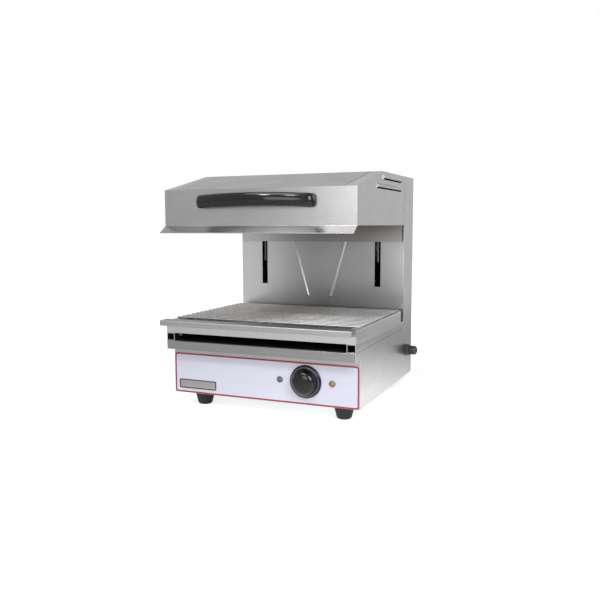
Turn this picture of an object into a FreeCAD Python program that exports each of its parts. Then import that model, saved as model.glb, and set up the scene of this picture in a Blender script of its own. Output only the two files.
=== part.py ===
import FreeCAD, Part
import math
import os
from types import SimpleNamespace

import Sketcher

# Countertop salamander grill: a boxed base with a pull-out tray and wire rack, a slotted
# column at the back, and a heated hood on two arms that slides up and down the column.
# The outlines are drawn with X across the width, Y back from the front of the collar and
# Z up from the worktop. The frame's origin is below the middle of the whole grill.

SIZES = {
    # body
    "body_width": 450.0,
    "body_depth": 459.0,
    "body_height": 501.5,
    "foot_height": 34.0,
    "sheet": 1.5,
    "seat_gap": 0.3,
    "slide_gap": 1.0,
    "flange": 14.0,
    # base box
    "front_setback": 30.0,
    "front_height": 105.0,
    "collar_height": 19.5,
    "slot_height": 18.0,
    "rail_width": 20.0,
    "rear_corner": 8.0,
    "pan_rim": 15.0,
    "shield_thickness": 1.2,
    "wire_hole_radius": 14.0,
    "wire_hole_inset": 40.0,
    # control panel
    "fascia_margin": 1.5,
    "fascia_low": 0.3,
    "fascia_height": 92.7,
    "fascia_corner": 7.0,
    "fascia_thickness": 0.8,
    "control_height": 50.8,
    "knob_inset": 121.7,
    "lamp_spacing": 60.6,
    # knob
    "knob_radius": 36.0,
    "knob_skirt": 5.0,
    "knob_body_radius": 28.5,
    "knob_taper": 1.5,
    "knob_length": 24.0,
    "knob_skirt_round": 3.0,
    "knob_round": 6.0,
    "knob_wall": 4.0,
    "knob_stand_off": 0.6,
    "knob_pointer_width": 2.6,
    "knob_pointer_depth": 0.9,
    "knob_hub_radius": 7.0,
    # regulator behind the panel
    "regulator_width": 42.0,
    "regulator_depth": 30.0,
    "bush_radius": 5.0,
    "bush_reach": 7.0,
    "nut_thickness": 2.8,
    "nut_flats": 14.0,
    "shaft_radius": 3.0,
    "shaft_flat": 1.5,
    "shaft_gap": 0.05,
    "shaft_reach": 15.0,
    "shaft_depth": 20.0,
    "hole_gap": 0.2,
    # lamps
    "bezel_radius": 7.5,
    "bezel_height": 2.2,
    "lens_radius": 5.6,
    "lens_height": 3.4,
    "lens_seat": 1.2,
    "barrel_radius": 5.0,
    "barrel_length": 26.0,
    # terminal block
    "block_width": 62.0,
    "block_depth": 22.0,
    "block_height": 18.0,
    "block_wells": 4,
    "block_well_radius": 3.2,
    "block_inset": 40.0,
    "block_setback": 52.0,
    # cable gland
    "gland_inset": 56.0,
    "gland_height": 66.0,
    "gland_flats": 25.5,
    "gland_hex": 9.5,
    "gland_thread": 9.0,
    "gland_bore": 5.0,
    "gland_cap_radius": 11.4,
    "gland_cap_length": 19.0,
    "gland_cap_round": 4.0,
    "gland_nut": 5.0,
    "gland_inside": 9.0,
    # feet
    "foot_side_inset": 51.5,
    "foot_inset": 48.0,
    "foot_top_radius": 23.5,
    "foot_base_radius": 16.5,
    "foot_collar": 4.0,
    "foot_bore": 3.2,
    "foot_recess_radius": 7.0,
    "foot_recess": 14.0,
    "foot_bevel": 3.0,
    "foot_screw_radius": 3.0,
    "foot_screw_head": 5.5,
    "foot_screw_head_height": 4.0,
    "foot_nut_height": 5.0,
    # column
    "column_depth": 86.0,
    "slot_inset": 67.5,
    "slot_width": 15.5,
    "slot_margin": 3.5,
    "bead_radius": 4.5,
    "bead_sink": 2.5,
    "bead_low_x": 32.0,
    "bead_high_x": 77.9,
    "bead_low": 200.0,
    "bead_high": 366.0,
    "pan_vent_front": 200.0,
    "rear_vents": 8,
    "rear_vent_pitch": 11.0,
    "rear_vent_length": 110.0,
    "rear_vent_height": 4.0,
    "rear_vent_low": 55.0,
    "rear_vent_x": 98.0,
    "screw_radius": 2.0,
    "screw_head": 4.2,
    "screw_crown": 3.0,
    "screw_head_height": 2.4,
    "screw_length": 9.0,
    "arm_screw_length": 6.0,
    "rear_screw_edge": 8.0,
    # lift gear inside the column
    "rod_radius": 6.0,
    "rod_back": 39.0,
    "rod_gap": 0.05,
    "member_height": 20.0,
    "member_depth": 34.0,
    "member_wall": 2.5,
    "rod_end": 5.0,
    "arm_thickness": 4.0,
    "arm_height": 70.0,
    "arm_low": 2.0,
    "arm_tail": 53.0,
    "arm_head": 33.0,
    "arm_foot_width": 30.0,
    "arm_bolt_rise": 10.0,
    "arm_bolt_pitch": 15.0,
    "arm_clearance": 1.8,
    "carriage_width": 36.0,
    "carriage_height": 70.0,
    "carriage_drop": 25.0,
    "bush_wall": 4.0,
    "bush_length": 16.0,
    "yoke_height": 46.0,
    "yoke_drop": 40.0,
    "yoke_thickness": 4.0,
    "stop_radius": 12.0,
    "stop_height": 14.0,
    "spring_x": 62.0,
    "spring_radius": 8.0,
    "spring_wire": 2.0,
    "hood_clearance": 85.0,
    # hood
    "hood_height": 119.5,
    "hood_setback": 4.0,
    "face_height": 79.0,
    "slope_run": 180.0,
    "lip_reach": 22.0,
    "lip_drop": 14.0,
    "hood_seam": 27.0,
    "seam_gap": 1.2,
    "hood_rim": 10.0,
    "rear_gap": 22.0,
    "back_gap": 7.5,
    "back_drop": 41.0,
    "back_margin": 3.5,
    "louvre_low": 39.5,
    "louvre_pitch": 21.0,
    "louvre_rear_inset": 36.0,
    "louvre_length": 155.0,
    "louvre_extra": 45.0,
    "louvre_reach": 4.5,
    "louvre_mouth": 4.0,
    "louvre_height": 11.0,
    "louvre_round": 12.0,
    # heat
    "reflector_front": 22.0,
    "reflector_slope": 22.0,
    "reflector_drop": 3.5,
    "reflector_height": 52.0,
    "reflector_sheet": 1.2,
    "insulation_height": 19.0,
    "insulation_inset": 22.0,
    "element_radius": 4.25,
    "element_height": 24.0,
    "element_spread": 42.0,
    "element_front_inset": 79.5,
    "element_rear_inset": 82.0,
    "element_count": 3,
    "element_bend_inset": 58.5,
    "element_end_inset": 7.5,
    "bracket_left_inset": 66.5,
    "bracket_right_inset": 23.5,
    "bracket_rim": 10.0,
    "bracket_margin": 12.0,
    # handle
    "handle_half": 138.0,
    "handle_low": 70.0,
    "handle_height": 28.5,
    "handle_arch": 3.5,
    "handle_reach": 40.0,
    "handle_bow": 445.0,
    "handle_thickness": 15.0,
    "handle_foot": 22.0,
    "handle_foot_drop": 2.5,
    "handle_shoulder": 16.0,
    # tray and rack
    "tray_height": 28.5,
    "tray_rim": 14.0,
    "tray_rear_rim": 6.0,
    "tray_lip_reach": 28.0,
    "tray_lip_rise": 3.0,
    "tray_lip_height": 12.5,
    "tray_lip_return": 9.0,
    "tray_lip_round": 3.0,
    "runner_height": 9.0,
    "runner_foot": 10.0,
    "runner_inset": 25.0,
    "rod_count": 16,
    "rod_first": 42.0,
    "rack_rod": 2.0,
    "rack_bar": 3.0,
    "rack_margin": 3.0,
    "rack_centre": 12.0,
}

ROOT_THREE = math.sqrt(3.0)

document = FreeCAD.newDocument("salamander_grill")


def fill_sheet():
    """The driving dimensions as aliased cells."""
    sheet = document.addObject("Spreadsheet::Sheet", "sizes")
    for row, (alias, number) in enumerate(SIZES.items(), start=1):
        sheet.set(f"A{row}", alias)
        sheet.set(f"B{row}", str(number))
        sheet.setAlias(f"B{row}", alias)
    document.recompute()


class Size:
    """A length in millimetres together with the sheet expression that gives it."""

    def __init__(self, value, text):
        self.value = value
        self.text = text

    def __add__(self, other):
        other = as_size(other)
        return Size(self.value + other.value, f"({self.text} + {other.text})")

    def __sub__(self, other):
        other = as_size(other)
        return Size(self.value - other.value, f"({self.text} - {other.text})")

    def __mul__(self, other):
        other = as_size(other)
        return Size(self.value * other.value, f"({self.text} * {other.text})")

    def __truediv__(self, other):
        other = as_size(other)
        return Size(self.value / other.value, f"({self.text} / {other.text})")

    def __neg__(self):
        return Size(-self.value, f"(-1 * {self.text})")

    def __radd__(self, other):
        return as_size(other) + self

    def __rmul__(self, other):
        return as_size(other) * self

    def root(self):
        """The square root."""
        return Size(math.sqrt(self.value), f"sqrt({self.text})")


def as_size(number):
    """A plain number as a Size."""
    return number if isinstance(number, Size) else Size(number, f"{number}")


fill_sheet()
dim = SimpleNamespace(**{alias: Size(number, f"sizes.{alias}") for alias, number in SIZES.items()})

ZERO = as_size(0)
HALF = dim.body_width / 2
INSIDE = HALF - dim.sheet
FOOT = dim.foot_height
TOP = FOOT + dim.body_height
COLLAR_LOW = FOOT + dim.front_height
BASE_TOP = COLLAR_LOW + dim.collar_height
RAIL_TOP = BASE_TOP + dim.slot_height
RIM_TOP = RAIL_TOP + dim.tray_height
LIP_TOP = RIM_TOP + dim.tray_lip_rise
COLUMN_FRONT = dim.body_depth - dim.column_depth
TRAY_REAR = COLUMN_FRONT - dim.rear_gap
PANEL_FRONT = dim.front_setback - dim.fascia_thickness
PANEL_BACK = dim.front_setback + dim.sheet
CONTROL_Z = FOOT + dim.control_height
KNOB_X = HALF - dim.knob_inset
GREEN_X = KNOB_X - dim.lamp_spacing
ORANGE_X = KNOB_X + dim.lamp_spacing
FOOT_X = HALF - dim.foot_side_inset
SLOT_X = HALF - dim.slot_inset
GLAND_Y = dim.body_depth - dim.gland_inset
HOOD_LOW = TOP - dim.hood_height
HOOD_REAR = COLUMN_FRONT - dim.slide_gap
FACE_TOP = HOOD_LOW + dim.face_height
FACE_BACK = dim.hood_setback + dim.sheet
BACK_FRONT = COLUMN_FRONT - dim.back_gap
BACK_REAR = BACK_FRONT + dim.sheet
BACK_LOW = HOOD_LOW - dim.back_drop
ARM_LOW = BACK_LOW + dim.arm_low
ARM_HIGH = ARM_LOW + dim.arm_height
TRAVEL = HOOD_LOW - dim.lip_drop - RIM_TOP - dim.hood_clearance
SLOT_LOW = ARM_LOW - TRAVEL - dim.slot_margin
SLOT_HIGH = ARM_HIGH + dim.slot_margin
ROD_Y = COLUMN_FRONT + dim.rod_back
BLOCK_LOW = ARM_LOW - dim.carriage_drop
BLOCK_HIGH = BLOCK_LOW + dim.carriage_height
MEMBER_LOW_TOP = BASE_TOP + dim.member_height
MEMBER_HIGH_LOW = TOP - dim.sheet - dim.member_height
REFLECTOR_LOW = HOOD_LOW + dim.reflector_drop
REFLECTOR_TOP = REFLECTOR_LOW + dim.reflector_height
BORE_RADIUS = dim.rod_radius + dim.rod_gap + dim.bush_wall
SHIFT_X = (dim.louvre_reach - dim.gland_hex - dim.gland_cap_length) / 2
HANDLE_FRONT = dim.hood_setback - dim.handle_reach
REAR_REACH = dim.body_depth + dim.screw_head_height
SHIFT_Y = -(HANDLE_FRONT + REAR_REACH) / 2

FLOOR = "XY_Plane"
FRONT = "XZ_Plane"
SIDE = "YZ_Plane"

published = []


def bind(item, path, size):
    """Ties a property to the sheet."""
    item.setExpression(path, as_size(size).text)


def move(item, x, y, z):
    """Ties an object's place to the sheet."""
    bind(item, "Placement.Base.x", x)
    bind(item, "Placement.Base.y", y)
    bind(item, "Placement.Base.z", z)


def publish(item, label, at=(ZERO, ZERO, ZERO)):
    """Names a finished sub-part and sets it in the grill's frame."""
    item.Label = label
    move(item, at[0] + SHIFT_X, at[1] + SHIFT_Y, at[2])
    published.append(item)


def across(side, inner, outer):
    """The low and high X of a band on the right, 1, or the left, -1."""
    return (inner, outer) if side > 0 else (-outer, -inner)


def arc(start, end, radius, turn):
    """The short arc between two points, its centre on the left for a turn of 1."""
    chord = end - start
    half = chord.Length / 2
    normal = FreeCAD.Vector(-chord.y, chord.x, 0).normalize()
    centre = (start + end) / 2 + normal * (turn * math.sqrt(max(radius**2 - half**2, 0)))
    first, last = (start, end) if turn > 0 else (end, start)
    begin = math.atan2(first.y - centre.y, first.x - centre.x)
    finish = math.atan2(last.y - centre.y, last.x - centre.x)
    if finish <= begin:
        finish += 2 * math.pi
    circle_line = Part.Circle(centre, FreeCAD.Vector(0, 0, 1), radius)
    return Part.ArcOfCircle(circle_line, begin, finish)


def tie(sketch, kind, targets, size):
    """One dimension of a sketch, tied to the sheet."""
    size = as_size(size)
    index = sketch.addConstraint(Sketcher.Constraint(kind, *targets, size.value))
    sketch.setExpression(f"Constraints[{index}]", size.text)


def outline(*points):
    """A closed loop. A point (x, y, radius, turn) starts an arc to the next point."""

    def draw(sketch):
        first = sketch.GeometryCount
        points_here = [tuple(as_size(value) for value in point[:3]) for point in points]
        corners = [FreeCAD.Vector(p[0].value, p[1].value, 0) for p in points_here]
        starts = []
        for number, point in enumerate(points):
            start = corners[number]
            end = corners[(number + 1) % len(points)]
            if len(point) == 2:
                sketch.addGeometry(Part.LineSegment(start, end), False)
                starts.append(1)
            else:
                sketch.addGeometry(arc(start, end, points_here[number][2].value, point[3]), False)
                starts.append(1 if point[3] > 0 else 2)
        for number, point in enumerate(points_here):
            after = (number + 1) % len(points)
            line = first + number
            joint = (line, 3 - starts[number], first + after, starts[after])
            sketch.addConstraint(Sketcher.Constraint("Coincident", *joint))
            tie(sketch, "DistanceX", (-1, 1, line, starts[number]), point[0])
            tie(sketch, "DistanceY", (-1, 1, line, starts[number]), point[1])
            if len(point) == 3:
                tie(sketch, "Radius", (line,), point[2])

    return draw


def rectangle(x0, y0, x1, y1):
    """A loop between two opposite corners."""
    return outline((x0, y0), (x1, y0), (x1, y1), (x0, y1))


def rounded(x0, y0, x1, y1, radius):
    """A rectangle with round corners."""
    return outline(
        (x0 + radius, y0),
        (x1 - radius, y0, radius, 1),
        (x1, y0 + radius),
        (x1, y1 - radius, radius, 1),
        (x1 - radius, y1),
        (x0 + radius, y1, radius, 1),
        (x0, y1 - radius),
        (x0, y0 + radius, radius, 1),
    )


def circle(x, y, radius):
    """A round loop."""

    def draw(sketch):
        centre = FreeCAD.Vector(as_size(x).value, as_size(y).value, 0)
        shape = Part.Circle(centre, FreeCAD.Vector(0, 0, 1), as_size(radius).value)
        line = sketch.addGeometry(shape, False)
        tie(sketch, "DistanceX", (-1, 1, line, 3), x)
        tie(sketch, "DistanceY", (-1, 1, line, 3), y)
        tie(sketch, "Radius", (line,), radius)

    return draw


def hexagon(flats):
    """A hexagon about the origin with a corner at the top."""
    reach = flats / ROOT_THREE
    half = flats / 2
    return outline(
        (ZERO, reach),
        (-half, reach / 2),
        (-half, -reach / 2),
        (ZERO, -reach),
        (half, -reach / 2),
        (half, reach / 2),
    )


class Piece:
    """A body made of pads, pockets and turned profiles on its own origin planes."""

    def __init__(self, label, at=(ZERO, ZERO, ZERO)):
        self.body = document.addObject("PartDesign::Body", label)
        self.at = at
        self.steps = 0

    def origin(self, role):
        """The body's own origin plane or axis with this role."""
        return next(item for item in self.body.Origin.OriginFeatures if item.Role == role)

    def add(self, kind, word):
        """A new feature with a name of its own."""
        self.steps += 1
        return self.body.newObject(kind, f"{self.body.Name}_{word}_{self.steps}")

    def sketch(self, role, height, loops):
        """A sketch parallel to an origin plane."""
        sketch = self.add("Sketcher::SketchObject", "sketch")
        sketch.AttachmentSupport = (self.origin(role), [""])
        sketch.MapMode = "FlatFace"
        bind(sketch, "AttachmentOffset.Base.z", -height if role == FRONT else as_size(height))
        for loop in loops:
            loop(sketch)
        return sketch

    def pad(self, role, low, high, *loops):
        """Material between two heights along the plane's axis."""
        feature = self.add("PartDesign::Pad", "pad")
        feature.Profile = self.sketch(role, as_size(high if role == FRONT else low), loops)
        bind(feature, "Length", as_size(high) - low)
        return feature

    def pocket(self, role, low, high, *loops):
        """A cut between two heights along the plane's axis."""
        feature = self.add("PartDesign::Pocket", "pocket")
        feature.Profile = self.sketch(role, as_size(low if role == FRONT else high), loops)
        bind(feature, "Length", as_size(high) - low)
        return feature

    def turn(self, kind, role, axis, loop):
        """A profile turned about the sketch's own H_Axis or V_Axis."""
        feature = self.add(kind, "turned")
        sketch = self.sketch(role, ZERO, [loop])
        feature.Profile = sketch
        feature.ReferenceAxis = (sketch, [axis])
        feature.Angle = 360
        return feature

    def revolve(self, role, axis, loop):
        """Turned material."""
        return self.turn("PartDesign::Revolution", role, axis, loop)

    def groove(self, role, axis, loop):
        """A turned cut."""
        return self.turn("PartDesign::Groove", role, axis, loop)

    def repeat(self, feature, axis, count, pitch):
        """Copies of a feature in a row."""
        pattern = self.add("PartDesign::LinearPattern", "row")
        pattern.Originals = [feature]
        pattern.Direction = (self.origin(axis), [""])
        bind(pattern, "Occurrences", count)
        bind(pattern, "Length", (as_size(count) - 1) * pitch)
        self.body.Tip = pattern
        return pattern

    def fillet(self, radius, wanted):
        """Rounds the edges that the test picks."""
        document.recompute()
        tip = self.body.Tip
        edges = [f"Edge{n}" for n, edge in enumerate(tip.Shape.Edges, start=1) if wanted(edge)]
        feature = self.add("PartDesign::Fillet", "fillet")
        feature.Base = (tip, edges)
        bind(feature, "Radius", radius)
        return feature

    def finish(self):
        """Hands the body over as a sub-part under its own name."""
        publish(self.body, self.body.Label, self.at)

    def placed(self):
        """The body set at its point, for a group."""
        move(self.body, *self.at)
        return self.body


def group(label, members):
    """Several identical solids as one sub-part."""
    compound = document.addObject("Part::Compound", label)
    compound.Links = members
    publish(compound, label)


def is_upright(edge):
    """Whether a straight edge runs along Z."""
    box = edge.BoundBox
    return box.XLength < 1e-6 and box.YLength < 1e-6


# Base box


def base_pan():
    """Bottom tray with upturned rims, a rounded rear edge, foot holes and air slots."""
    pan = Piece("base_pan")
    front = PANEL_BACK
    rear = dim.body_depth
    rim = FOOT + dim.pan_rim
    wall = dim.sheet
    corner = dim.rear_corner
    section = outline(
        (front, FOOT),
        (rear - corner, FOOT, corner, 1),
        (rear, FOOT + corner),
        (rear, rim),
        (rear - wall, rim),
        (rear - wall, FOOT + corner, corner - wall, -1),
        (rear - corner, FOOT + wall),
        (front + wall, FOOT + wall),
        (front + wall, rim),
        (front, rim),
    )
    pan.pad(SIDE, -INSIDE, INSIDE, section)
    for side in (-1, 1):
        start, end = across(side, INSIDE - wall, INSIDE)
        pan.pad(FLOOR, FOOT, rim, rectangle(start, front, end, rear - corner))
    feet = [circle(x, y, dim.foot_bore) for x, y in foot_places()]
    pan.pocket(FLOOR, FOOT, FOOT + wall, *feet)
    half = dim.rear_vent_length / 2
    low = dim.pan_vent_front
    vent = rectangle(-half, low, half, low + dim.rear_vent_height)
    slot = pan.pocket(FLOOR, FOOT, FOOT + wall, vent)
    pan.repeat(slot, "Y_Axis", dim.rear_vents, dim.rear_vent_pitch)
    pan.finish()


def side_panel(side, label):
    """Base side and column side in one sheet, with a flange for the rear cover."""
    panel = Piece(label)
    low, high = across(side, INSIDE, HALF)
    corner = dim.rear_corner
    profile = outline(
        (dim.front_setback, FOOT),
        (dim.body_depth - corner, FOOT, corner, 1),
        (dim.body_depth, FOOT + corner),
        (dim.body_depth, TOP),
        (COLUMN_FRONT, TOP),
        (COLUMN_FRONT, BASE_TOP),
        (ZERO, BASE_TOP),
        (ZERO, COLLAR_LOW),
        (dim.front_setback, COLLAR_LOW),
    )
    panel.pad(SIDE, low, high, profile)
    start, end = across(side, INSIDE - dim.flange, INSIDE)
    rear = dim.body_depth - dim.sheet
    flange = rectangle(start, rear - dim.sheet, end, rear)
    panel.pad(FLOOR, FOOT + corner + dim.flange, TOP - dim.sheet - dim.member_height, flange)
    own_side = [place for place in rear_screw_places() if place[0].value * side > 0]
    holes = [circle(x, z, dim.screw_radius + dim.shaft_gap) for x, z in own_side]
    panel.pocket(FRONT, rear - dim.sheet, rear, *holes)
    if side > 0:
        hole = circle(GLAND_Y, FOOT + dim.gland_height, dim.gland_thread + dim.hole_gap)
        panel.pocket(SIDE, low, high, hole)
    panel.finish()


def base_front():
    """Steel front of the base behind the control panel."""
    front = Piece("base_front")
    front.pad(FRONT, dim.front_setback, PANEL_BACK, rectangle(-INSIDE, FOOT, INSIDE, COLLAR_LOW))
    front.pocket(
        FRONT,
        dim.front_setback,
        PANEL_BACK,
        circle(KNOB_X, CONTROL_Z, dim.bush_radius + dim.hole_gap),
        circle(GREEN_X, CONTROL_Z, dim.barrel_radius + dim.hole_gap),
        circle(ORANGE_X, CONTROL_Z, dim.barrel_radius + dim.hole_gap),
    )
    front.finish()


def base_top():
    """Top sheet of the base with the collar folded down over the front."""
    top = Piece("base_top")
    wall = dim.sheet
    rear = dim.body_depth - 2 * wall
    collar = outline(
        (ZERO, COLLAR_LOW),
        (PANEL_BACK, COLLAR_LOW),
        (PANEL_BACK, COLLAR_LOW + wall),
        (wall, COLLAR_LOW + wall),
        (wall, BASE_TOP - wall),
        (rear, BASE_TOP - wall),
        (rear, BASE_TOP),
        (ZERO, BASE_TOP),
    )
    top.pad(SIDE, -INSIDE, INSIDE, collar)
    hole = circle(HALF - dim.wire_hole_inset, COLUMN_FRONT + dim.wire_hole_radius * 2,
                  dim.wire_hole_radius)
    top.pocket(FLOOR, BASE_TOP - wall, BASE_TOP, hole)
    top.finish()


def tray_rail(side, label):
    """Square tube along one side of the base that carries the tray."""
    rail = Piece(label)
    wall = dim.sheet
    low, high = across(side, HALF - dim.rail_width, HALF)
    rail.pad(
        FRONT,
        ZERO,
        COLUMN_FRONT,
        rectangle(low, BASE_TOP, high, RAIL_TOP),
        rectangle(low + wall, BASE_TOP + wall, high - wall, RAIL_TOP - wall),
    )
    rail.finish()


def heat_shield():
    """Black enamelled plate over the electrics, on the floor of the front slot."""
    shield = Piece("heat_shield")
    half = HALF - dim.rail_width - dim.seat_gap
    plate = rectangle(-half, dim.sheet, half, COLUMN_FRONT - dim.seat_gap)
    shield.pad(FLOOR, BASE_TOP, BASE_TOP + dim.shield_thickness, plate)
    shield.finish()


# Controls


def fascia():
    """Thin control panel with round corners."""
    panel = Piece("fascia")
    low = FOOT + dim.fascia_low
    half = HALF - dim.fascia_margin
    panel.pad(
        FRONT,
        PANEL_FRONT,
        dim.front_setback,
        rounded(-half, low, half, low + dim.fascia_height, dim.fascia_corner),
        circle(KNOB_X, CONTROL_Z, dim.bush_radius + dim.hole_gap),
        circle(GREEN_X, CONTROL_Z, dim.barrel_radius + dim.hole_gap),
        circle(ORANGE_X, CONTROL_Z, dim.barrel_radius + dim.hole_gap),
    )
    panel.finish()


def regulator():
    """Rotary energy regulator behind the panel, with its threaded bush through it."""
    unit = Piece("energy_regulator", (KNOB_X, PANEL_BACK, CONTROL_Z))
    half = dim.regulator_width / 2
    unit.pad(FRONT, ZERO, dim.regulator_depth, rectangle(-half, -half, half, half))
    unit.pad(FRONT, -dim.bush_reach, ZERO, circle(ZERO, ZERO, dim.bush_radius))
    bore = circle(ZERO, ZERO, dim.shaft_radius + dim.shaft_gap)
    unit.pocket(FRONT, -dim.bush_reach, dim.shaft_depth, bore)
    lug = rectangle(-half * 0.8, half, half * 0.8, half + dim.flange / 2)
    unit.pad(FRONT, dim.regulator_depth * 0.7, dim.regulator_depth, lug)
    unit.finish()


def regulator_nut():
    """Hexagon nut that clamps the regulator to the panel."""
    nut = Piece("regulator_nut", (KNOB_X, PANEL_FRONT, CONTROL_Z))
    loops = hexagon(dim.nut_flats), circle(ZERO, ZERO, dim.bush_radius + dim.shaft_gap)
    nut.pad(FRONT, -dim.nut_thickness, ZERO, *loops)
    nut.finish()


def regulator_shaft():
    """Round shaft with a flat on its end for the knob."""
    shaft = Piece("regulator_shaft", (KNOB_X, PANEL_BACK, CONTROL_Z))
    radius = dim.shaft_radius
    shaft.pad(FRONT, -dim.shaft_reach, dim.shaft_depth - dim.seat_gap, circle(ZERO, ZERO, radius))
    flat = rectangle(-radius, -radius, radius, -dim.shaft_flat)
    shaft.pocket(FRONT, -dim.shaft_reach, -dim.bush_reach - dim.slide_gap, flat)
    shaft.finish()


def control_knob():
    """Round knob with a skirt, a tapered grip, a pointer groove and a hollow back with a hub."""
    knob = Piece("control_knob", (KNOB_X, PANEL_FRONT - dim.knob_stand_off, CONTROL_Z))
    skirt = -dim.knob_skirt
    face = -dim.knob_length
    waist = dim.knob_body_radius
    crown = waist - dim.knob_taper
    bend = dim.knob_round
    edge = dim.knob_skirt_round
    profile = outline(
        (ZERO, ZERO),
        (dim.knob_radius, ZERO),
        (dim.knob_radius, skirt + edge),
        (dim.knob_radius - edge, skirt),
        (waist, skirt),
        (crown, face + bend, bend, -1),
        (crown - bend, face),
        (ZERO, face),
    )
    knob.revolve(FLOOR, "V_Axis", profile)
    hollow = rectangle(dim.knob_hub_radius, face + dim.knob_wall, crown - dim.knob_wall, ZERO)
    knob.groove(FLOOR, "V_Axis", hollow)
    inside = dim.sheet + dim.fascia_thickness + dim.knob_stand_off
    relief = inside - dim.bush_reach - dim.slide_gap
    knob.groove(FLOOR, "V_Axis", rectangle(ZERO, relief, dim.knob_hub_radius, ZERO))
    bore_end = inside - dim.shaft_reach - dim.seat_gap
    bore_radius = dim.shaft_radius + dim.shaft_gap
    knob.groove(FLOOR, "V_Axis", rectangle(ZERO, bore_end, bore_radius, ZERO))
    half = dim.knob_pointer_width / 2
    pointer = rectangle(-half, bend, half, crown)
    knob.pocket(FRONT, face, face + dim.knob_pointer_depth, pointer)
    knob.finish()


def lamp(name, x):
    """Snap-in pilot lamp: a bezel and barrel, and a raised lens."""
    at = (x, PANEL_FRONT, CONTROL_Z)
    holder = Piece(f"{name}_lamp_body", at)
    bezel = -dim.bezel_height
    seat = bezel + dim.lens_seat
    profile = outline(
        (ZERO, seat),
        (dim.lens_radius, seat),
        (dim.lens_radius, bezel),
        (dim.bezel_radius - dim.lens_seat, bezel),
        (dim.bezel_radius, seat),
        (dim.bezel_radius, ZERO),
        (dim.barrel_radius, ZERO),
        (dim.barrel_radius, dim.barrel_length),
        (ZERO, dim.barrel_length),
    )
    holder.revolve(FLOOR, "V_Axis", profile)
    holder.finish()
    lens = Piece(f"{name}_lamp_lens", at)
    crown = bezel - dim.lens_height + dim.lens_seat
    width = dim.lens_radius - dim.seat_gap
    dome = outline((ZERO, seat), (width, seat), (width, bezel), (width / 2, crown), (ZERO, crown))
    lens.revolve(FLOOR, "V_Axis", dome)
    lens.finish()


# Electrical entry


def terminal_block():
    """Insulating block with two rows of screw wells on the base pan."""
    x = HALF - dim.block_inset - dim.block_width
    y = GLAND_Y - dim.block_setback
    block = Piece("terminal_block", (x, y, FOOT + dim.sheet))
    block.pad(FLOOR, ZERO, dim.block_height, rectangle(ZERO, ZERO, dim.block_width, dim.block_depth))
    pitch = dim.block_width / dim.block_wells
    depth = dim.block_height * 0.6
    for y_share in (0.28, 0.72):
        well = circle(pitch / 2, dim.block_depth * y_share, dim.block_well_radius)
        pocket = block.pocket(FLOOR, dim.block_height - depth, dim.block_height, well)
        block.repeat(pocket, "X_Axis", dim.block_wells, pitch)
    block.finish()


def gland_at():
    """Centre of the cable entry on the outside of the right side panel."""
    return HALF, GLAND_Y, FOOT + dim.gland_height


def gland_body():
    """Hexagon flange outside and threaded tube through the panel."""
    body = Piece("gland_body", gland_at())
    body.pad(SIDE, ZERO, dim.gland_hex, hexagon(dim.gland_flats))
    tube = circle(ZERO, ZERO, dim.gland_thread)
    body.pad(SIDE, -dim.gland_inside - dim.sheet, ZERO, tube)
    spigot = circle(ZERO, ZERO, dim.gland_thread - dim.sheet)
    body.pad(SIDE, dim.gland_hex, dim.gland_hex + dim.gland_cap_length / 2, spigot)
    end = dim.gland_hex + dim.gland_cap_length / 2
    body.pocket(SIDE, -dim.gland_inside - dim.sheet, end, circle(ZERO, ZERO, dim.gland_bore))
    body.finish()


def gland_cap():
    """Domed clamping cap of the gland."""
    cap = Piece("gland_cap", gland_at())
    start = dim.gland_hex
    end = start + dim.gland_cap_length
    bend = dim.gland_cap_round
    radius = dim.gland_cap_radius
    inner = dim.gland_thread - dim.sheet + dim.shaft_gap
    step = start + dim.gland_cap_length / 2 + dim.seat_gap
    profile = outline(
        (start, inner),
        (step, inner),
        (step, dim.gland_bore),
        (end, dim.gland_bore),
        (end, radius - bend),
        (end - bend, radius),
        (start, radius),
    )
    cap.revolve(FLOOR, "H_Axis", profile)
    cap.finish()


def gland_nut():
    """Lock nut inside the side panel."""
    nut = Piece("gland_nut", gland_at())
    outer = -dim.sheet
    bore = circle(ZERO, ZERO, dim.gland_thread + dim.shaft_gap)
    nut.pad(SIDE, outer - dim.gland_nut, outer, hexagon(dim.gland_flats), bore)
    nut.finish()


# Feet


def foot_places():
    """The four foot centres in the floor plane."""
    front = dim.front_setback + dim.foot_inset
    rear = dim.body_depth - dim.foot_inset
    return [(-FOOT_X, front), (FOOT_X, front), (-FOOT_X, rear), (FOOT_X, rear)]


def foot(label, x, y):
    """Tapered rubber foot with a recess for its screw."""
    piece = Piece(label, (x, y, ZERO))
    base = dim.foot_base_radius
    bevel = dim.foot_bevel
    shoulder = FOOT - dim.foot_collar
    profile = outline(
        (dim.foot_recess_radius, ZERO),
        (base - bevel, ZERO),
        (base, bevel),
        (dim.foot_top_radius, shoulder),
        (dim.foot_top_radius, FOOT),
        (dim.foot_bore, FOOT),
        (dim.foot_bore, dim.foot_recess),
        (dim.foot_recess_radius, dim.foot_recess),
    )
    piece.revolve(FRONT, "V_Axis", profile)
    piece.finish()


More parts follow.
